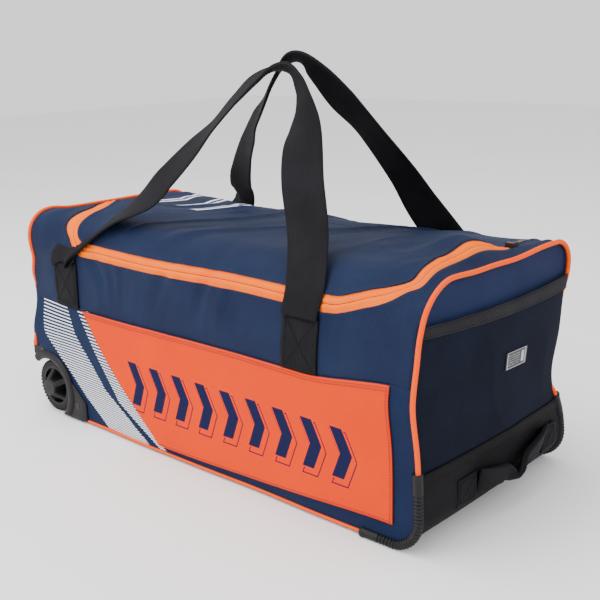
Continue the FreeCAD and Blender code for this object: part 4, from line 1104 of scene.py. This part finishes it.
def labelMaterial():
    # damask woven label: pale border, a pale block and rows of short dashes on near-black
    material, tree, shader = newMaterial("damaskWovenLabel")
    place = addNode(tree, "TexCoord")
    parts = addNode(tree, "SeparateXYZ", {0: place.outputs["UV"]})
    u, v = parts.outputs[0], parts.outputs[1]
    centredU = addNode(tree, "Math", {0: u, 1: 0.5}, operation="SUBTRACT")
    centredV = addNode(tree, "Math", {0: v, 1: 0.5}, operation="SUBTRACT")
    outU = addNode(tree, "Math", {0: centredU}, operation="ABSOLUTE")
    outV = addNode(tree, "Math", {0: centredV}, operation="ABSOLUTE")
    wide = addNode(tree, "Math", {0: outU, 1: 0.02}, operation="ADD")
    tall = addNode(tree, "Math", {0: outV, 1: -0.02}, operation="ADD")
    far = addNode(tree, "Math", {0: wide, 1: tall}, operation="MAXIMUM")
    border = inkWhere(tree, far.outputs[0], 0.435, 0.465)
    row = addNode(tree, "Math", {0: v, 1: 7.0}, operation="MULTIPLY")
    rowPart = addNode(tree, "Math", {0: row}, operation="FRACT")
    dash = inkWhere(tree, rowPart.outputs[0], 0.42, 0.62)
    speck = addNode(tree, "TexNoise", {"Vector": place.outputs["UV"], "Scale": 26.0, "Detail": 1.0})
    broken = addNode(tree, "Math", {0: speck, 1: 0.50}, operation="GREATER_THAN")
    dash = addNode(tree, "Math", {0: dash, 1: broken}, operation="MULTIPLY").outputs[0]
    dash = inkBetween(tree, inkBetween(tree, dash, u, 0.12, 0.66), v, 0.10, 0.86)
    block = inkBetween(tree, inkWhere(tree, u, 0.74, 0.86), v, 0.18, 0.82)
    ink = addNode(tree, "Math", {0: border, 1: dash}, operation="MAXIMUM")
    ink = addNode(tree, "Math", {0: ink, 1: block}, operation="MAXIMUM")
    colour = printedOver(tree, ink, toLinear("101117"), "a8abb6")
    weave = addNode(tree, "TexNoise", {"Vector": place.outputs["Object"], "Scale": 900.0})
    finish(tree, shader, colour, 0.6, weave, 0.0002, 0.5, Sheen_Weight=0.2)
    return material


def labelPatch():
    low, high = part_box("label_patch")
    u, v = np.linspace(0, 1, 20)[:, None], np.linspace(0, 1, 10)[None]
    across = (low[1] + (high[1] - low[1]) * u - frontY) / (backY - frontY) + 0 * v
    z = low[2] + (high[2] - low[2]) * v + 0.002 * (1 - u)
    uv = np.stack(np.broadcast_arrays(u, v), -1)
    mesh = surface("labelPatch", endPoint(1, across, z, 0.0012, 0.008), uv)
    addPiece("labelPatch", mesh, labelMaterial(), "bag", ("label_patch",), 0.0008)


# wheels

tread = {"lumps": 44, "depth": 0.0030}


def wheels():
    # the tread's section turned about the axle, with staggered blocks cut by shallow grooves
    for name, node, body in (("frontTread", "wheel_tyre_front", "wheel_front"),
                             ("backTread", "wheel_tyre_back", "wheel_back")):
        low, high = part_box(node)
        middle = (np.array(low) + np.array(high)) / 2
        radius, half = (high[2] - low[2]) / 2, (high[1] - low[1]) / 2
        inner = 0.0325
        right = [(0.05, 0.0409), (0.14, 0.0415), (0.4, 0.0415), (0.66, 0.0415), (0.88, 0.0411), (0.97, 0.0404),
                 (1, 0.0390), (1, inner)]
        profile = np.array([(-across, size) for across, size in right[::-1]] + right)
        turns = 440
        angle = np.arange(turns + 1) * 2 * math.pi / turns
        stagger = np.where(profile[:, 0] < 0, 0.0, 0.5)[None]
        wave = np.sin((angle[:, None] / (2 * math.pi) * tread["lumps"] + stagger) * 2 * math.pi)
        cut = ease(-0.1, 0.7, wave) * ease(0.0350, 0.0385, profile[:, 1])[None]
        size = np.minimum(profile[None, :, 1], radius) - tread["depth"] * cut
        points = np.stack([middle[0] + size * np.cos(angle)[:, None],
                           middle[1] + np.repeat(profile[None, :, 0] * half, turns + 1, 0),
                           middle[2] + size * np.sin(angle)[:, None]], -1)
        uv = np.stack(np.broadcast_arrays(angle[:, None] * radius, profile[None, :, 0] * half), -1)
        mesh = surface(name, points, uv, flip=False)
        addPiece(name, mesh, treadRubber, body, (node,), weld=True)


wheelFace = {"spokes": 5, "disc": 0.0125, "spokeHalf": 0.0042, "rim": 0.0292, "recess": 0.011, "first": 100.0,
             "dome": 0.0125}


def wheelFaces():
    # a polar sheet over the hub: disc and spokes rise in a dome, the rim is level with the tyre, windows sink
    for name, tyre, node, body, face in (
            ("frontWheelFace", "wheel_tyre_front", "hub_cap_front", "wheel_front", -1),
            ("backWheelFace", "wheel_tyre_back", "hub_cap_back", "wheel_back", 1)):
        low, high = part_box(tyre)
        middle = (np.array(low) + np.array(high)) / 2
        outside = low[1] if face < 0 else high[1]
        radius = np.concatenate([np.linspace(0.0004, 0.0345, 58), [0.0345]])[None]
        angle = (np.arange(241) * 2 * math.pi / 240)[:, None]
        spokes = wheelFace["spokes"]
        turned = (angle - math.radians(wheelFace["first"])) * spokes / (2 * math.pi)
        away = np.abs(turned - np.round(turned)) * 2 * math.pi / spokes * radius
        sunk = (ease(wheelFace["disc"], wheelFace["disc"] + 0.0022, radius)
                * (1 - ease(wheelFace["rim"] - 0.0022, wheelFace["rim"], radius))
                * ease(wheelFace["spokeHalf"], wheelFace["spokeHalf"] + 0.0018, away))
        dome = wheelFace["dome"] * (1 - ease(0.011, 0.029, radius))
        groove = 0.0010 * np.exp(-((radius - 0.0312) / 0.0008) ** 2)
        depth = 0.0012 - dome * (1 - sunk) + groove + wheelFace["recess"] * sunk
        depth = depth + 0.012 * (np.arange(59) == 58)[None]
        points = np.stack(np.broadcast_arrays(middle[0] + radius * np.cos(angle), outside - face * depth,
                                              middle[2] + radius * np.sin(angle)), -1)
        uv = np.stack(np.broadcast_arrays(radius * np.cos(angle), radius * np.sin(angle)), -1)
        mesh = surface(name, points, uv, flip=face < 0)
        addPiece(name, mesh, wheelPlastic, body, (node,), weld=True)


housing = {"lip": 0.0525, "lipHalf": 0.0068, "right": -0.2470, "top": 0.1095, "left": -0.3735, "foot": 0.0045}


def housingFaces():
    # a smooth face round the wheel: from the arch out to the housing's slanting edge, in rays from the axle
    for name, node, wheel, face in (("frontHousingFace", "wheel_housing_front", "wheel_tyre_front", -1),
                                    ("backHousingFace", "wheel_housing_back", "wheel_tyre_back", 1)):
        low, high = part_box(wheel)
        middle = (np.array(low) + np.array(high)) / 2
        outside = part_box(node)[0][1] if face < 0 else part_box(node)[1][1]
        angle = np.linspace(math.radians(-37), math.radians(127), 180)
        dx, dz = np.cos(angle), np.sin(angle)
        slant = np.array([0.076, 0.087]) / math.hypot(0.076, 0.087)
        reach = []
        for nx, nz, px, pz in ((1, 0, housing["right"], 0), (-1, 0, housing["left"], 0),
                               (0, 1, 0, housing["top"]), (0, -1, 0, housing["foot"]),
                               (slant[0], slant[1], -0.2485, 0.0345)):
            facing = nx * dx + nz * dz
            gap = nx * (px - middle[0]) + nz * (pz - middle[2])
            reach.append(np.where(facing > 1e-4, gap / np.maximum(facing, 1e-4), 1.0))
        edge = np.maximum(np.min(reach, 0), 0.047)[:, None]
        share = np.linspace(0, 1, 14)[None]
        ray = 0.0465 * (1 - share) + edge * share
        drop = 0.0015 * ease(0.8, 1.0, share)
        points = np.stack(np.broadcast_arrays(middle[0] + ray * dx[:, None], outside + face * (0.0010 - drop),
                                              middle[2] + ray * dz[:, None]), -1)
        uv = np.stack(np.broadcast_arrays(ray * dx[:, None], ray * dz[:, None]), -1)
        mesh = surface(name, points, uv, flip=face < 0)
        addPiece(name, mesh, housingPlastic, "bag", (), 0.003)
        path = np.stack([middle[0] + housing["lip"] * dx, np.full(180, outside + face * 0.0004),
                         middle[2] + housing["lip"] * dz], -1)
        keep = (path[:, 2] > 0.0085) & (path[:, 0] > housing["left"] + 0.004)
        outward = np.stack([dx, 0 * dx, dz], -1)[keep]
        mesh = sweep(name.replace("Face", "Lip"), path[keep], outward, ring(housing["lipHalf"], 16, 0.62))
        addPiece(name.replace("Face", "Lip"), mesh, housingPlastic, "bag", (), weld=True)


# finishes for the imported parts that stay

packedFinishes = {
    "base_board": boardPlastic, "wheel_hub_front": wheelPlastic, "wheel_hub_back": wheelPlastic,
    "wheel_bearings_front": bearingSteel, "wheel_bearings_back": bearingSteel,
    "wheel_axle_front": axleSteel, "wheel_axle_back": axleSteel, "axle_nut_front": axleSteel,
    "axle_nut_back": axleSteel,
    "wheel_housing_front": housingPlastic, "wheel_housing_back": housingPlastic,
    "housing_rivets": rivetSteel, "rivet_burrs": rivetSteel, "zip_slider": sliderMetal,
    "zip_pull_tab": sliderMetal,
}

# floor, light and camera

camera = {
    "place": (0.908, -0.945, 0.559),
    "forward": (-0.6505, 0.7119, -0.2647),
    "up": (-0.1591, 0.2130, 0.9640),
    "lens": 57.7,
}
studio = {"floor": "f4f4f4", "world": "ffffff", "worldStrength": 1.25}
softLights = [
    ("overheadSoftbox", (-0.5, -0.7, 2.3), 2.0, 62.0),
    ("frontSoftbox", (-0.7, -2.4, 1.0), 1.6, 30.0),
    ("sideSoftbox", (2.4, -0.5, 1.3), 1.6, 20.0),
]


def setStage():
    mesh = bpy.data.meshes.new("studioFloor")
    size = 6.0
    corners = [(-size, -size, 0), (size, -size, 0), (size, size, 0), (-size, size, 0)]
    mesh.from_pydata(corners, [], [(0, 1, 2, 3)])
    material, tree, shader = newMaterial("paintedStudioFloor")
    place = addNode(tree, "TexCoord")
    cloudy = addNode(tree, "TexNoise", {"Vector": place.outputs["Object"], "Scale": 3.0})
    colour = printedOver(tree, cloudy, toLinear("f1f1f1"), "f6f6f6")
    finish(tree, shader, colour, 0.85)
    mesh.materials.append(material)
    floor = bpy.data.objects.new("studioFloor", mesh)
    bpy.context.scene.collection.objects.link(floor)
    world = bpy.data.worlds.new("studioWorld")
    world.use_nodes = True
    world.node_tree.nodes["Background"].inputs[0].default_value = toLinear(studio["world"])
    world.node_tree.nodes["Background"].inputs[1].default_value = studio["worldStrength"]
    bpy.context.scene.world = world
    target = Vector((0, 0, 0.2))
    for name, place, size, power in softLights:
        lamp = bpy.data.lights.new(name, "AREA")
        lamp.shape, lamp.size, lamp.energy = "SQUARE", size, power
        light = bpy.data.objects.new(name, lamp)
        light.location = place
        light.rotation_euler = (target - Vector(place)).to_track_quat("-Z", "Y").to_euler()
        bpy.context.scene.collection.objects.link(light)
    lens = bpy.data.cameras.new("studioCamera")
    lens.lens = camera["lens"]
    lens.clip_start, lens.clip_end = 0.02, 30
    eye = bpy.data.objects.new("studioCamera", lens)
    forward, up = Vector(camera["forward"]).normalized(), Vector(camera["up"]).normalized()
    right = forward.cross(up).normalized()
    up = right.cross(forward)
    turn = Matrix((right, up, -forward)).transposed()
    eye.matrix_world = Matrix.Translation(camera["place"]) @ turn.to_4x4()
    bpy.context.scene.collection.objects.link(eye)
    bpy.context.scene.camera = eye


setStage()
upperShell()
lidPanel()
zipTapes()
frontLower()
orangeFront()
backPanel()
print("shell made")
ends()
basePanel()
pipingPieces()
cornerGuards()
print("ends, base and piping made")
carryHandles()
pullHandle()
labelPatch()
print("webbing made")
wheels()
wheelFaces()
housingFaces()
for node, material in packedFinishes.items():
    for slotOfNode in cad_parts[node].material_slots:
        slotOfNode.material = material
print("wheels and packed parts finished")
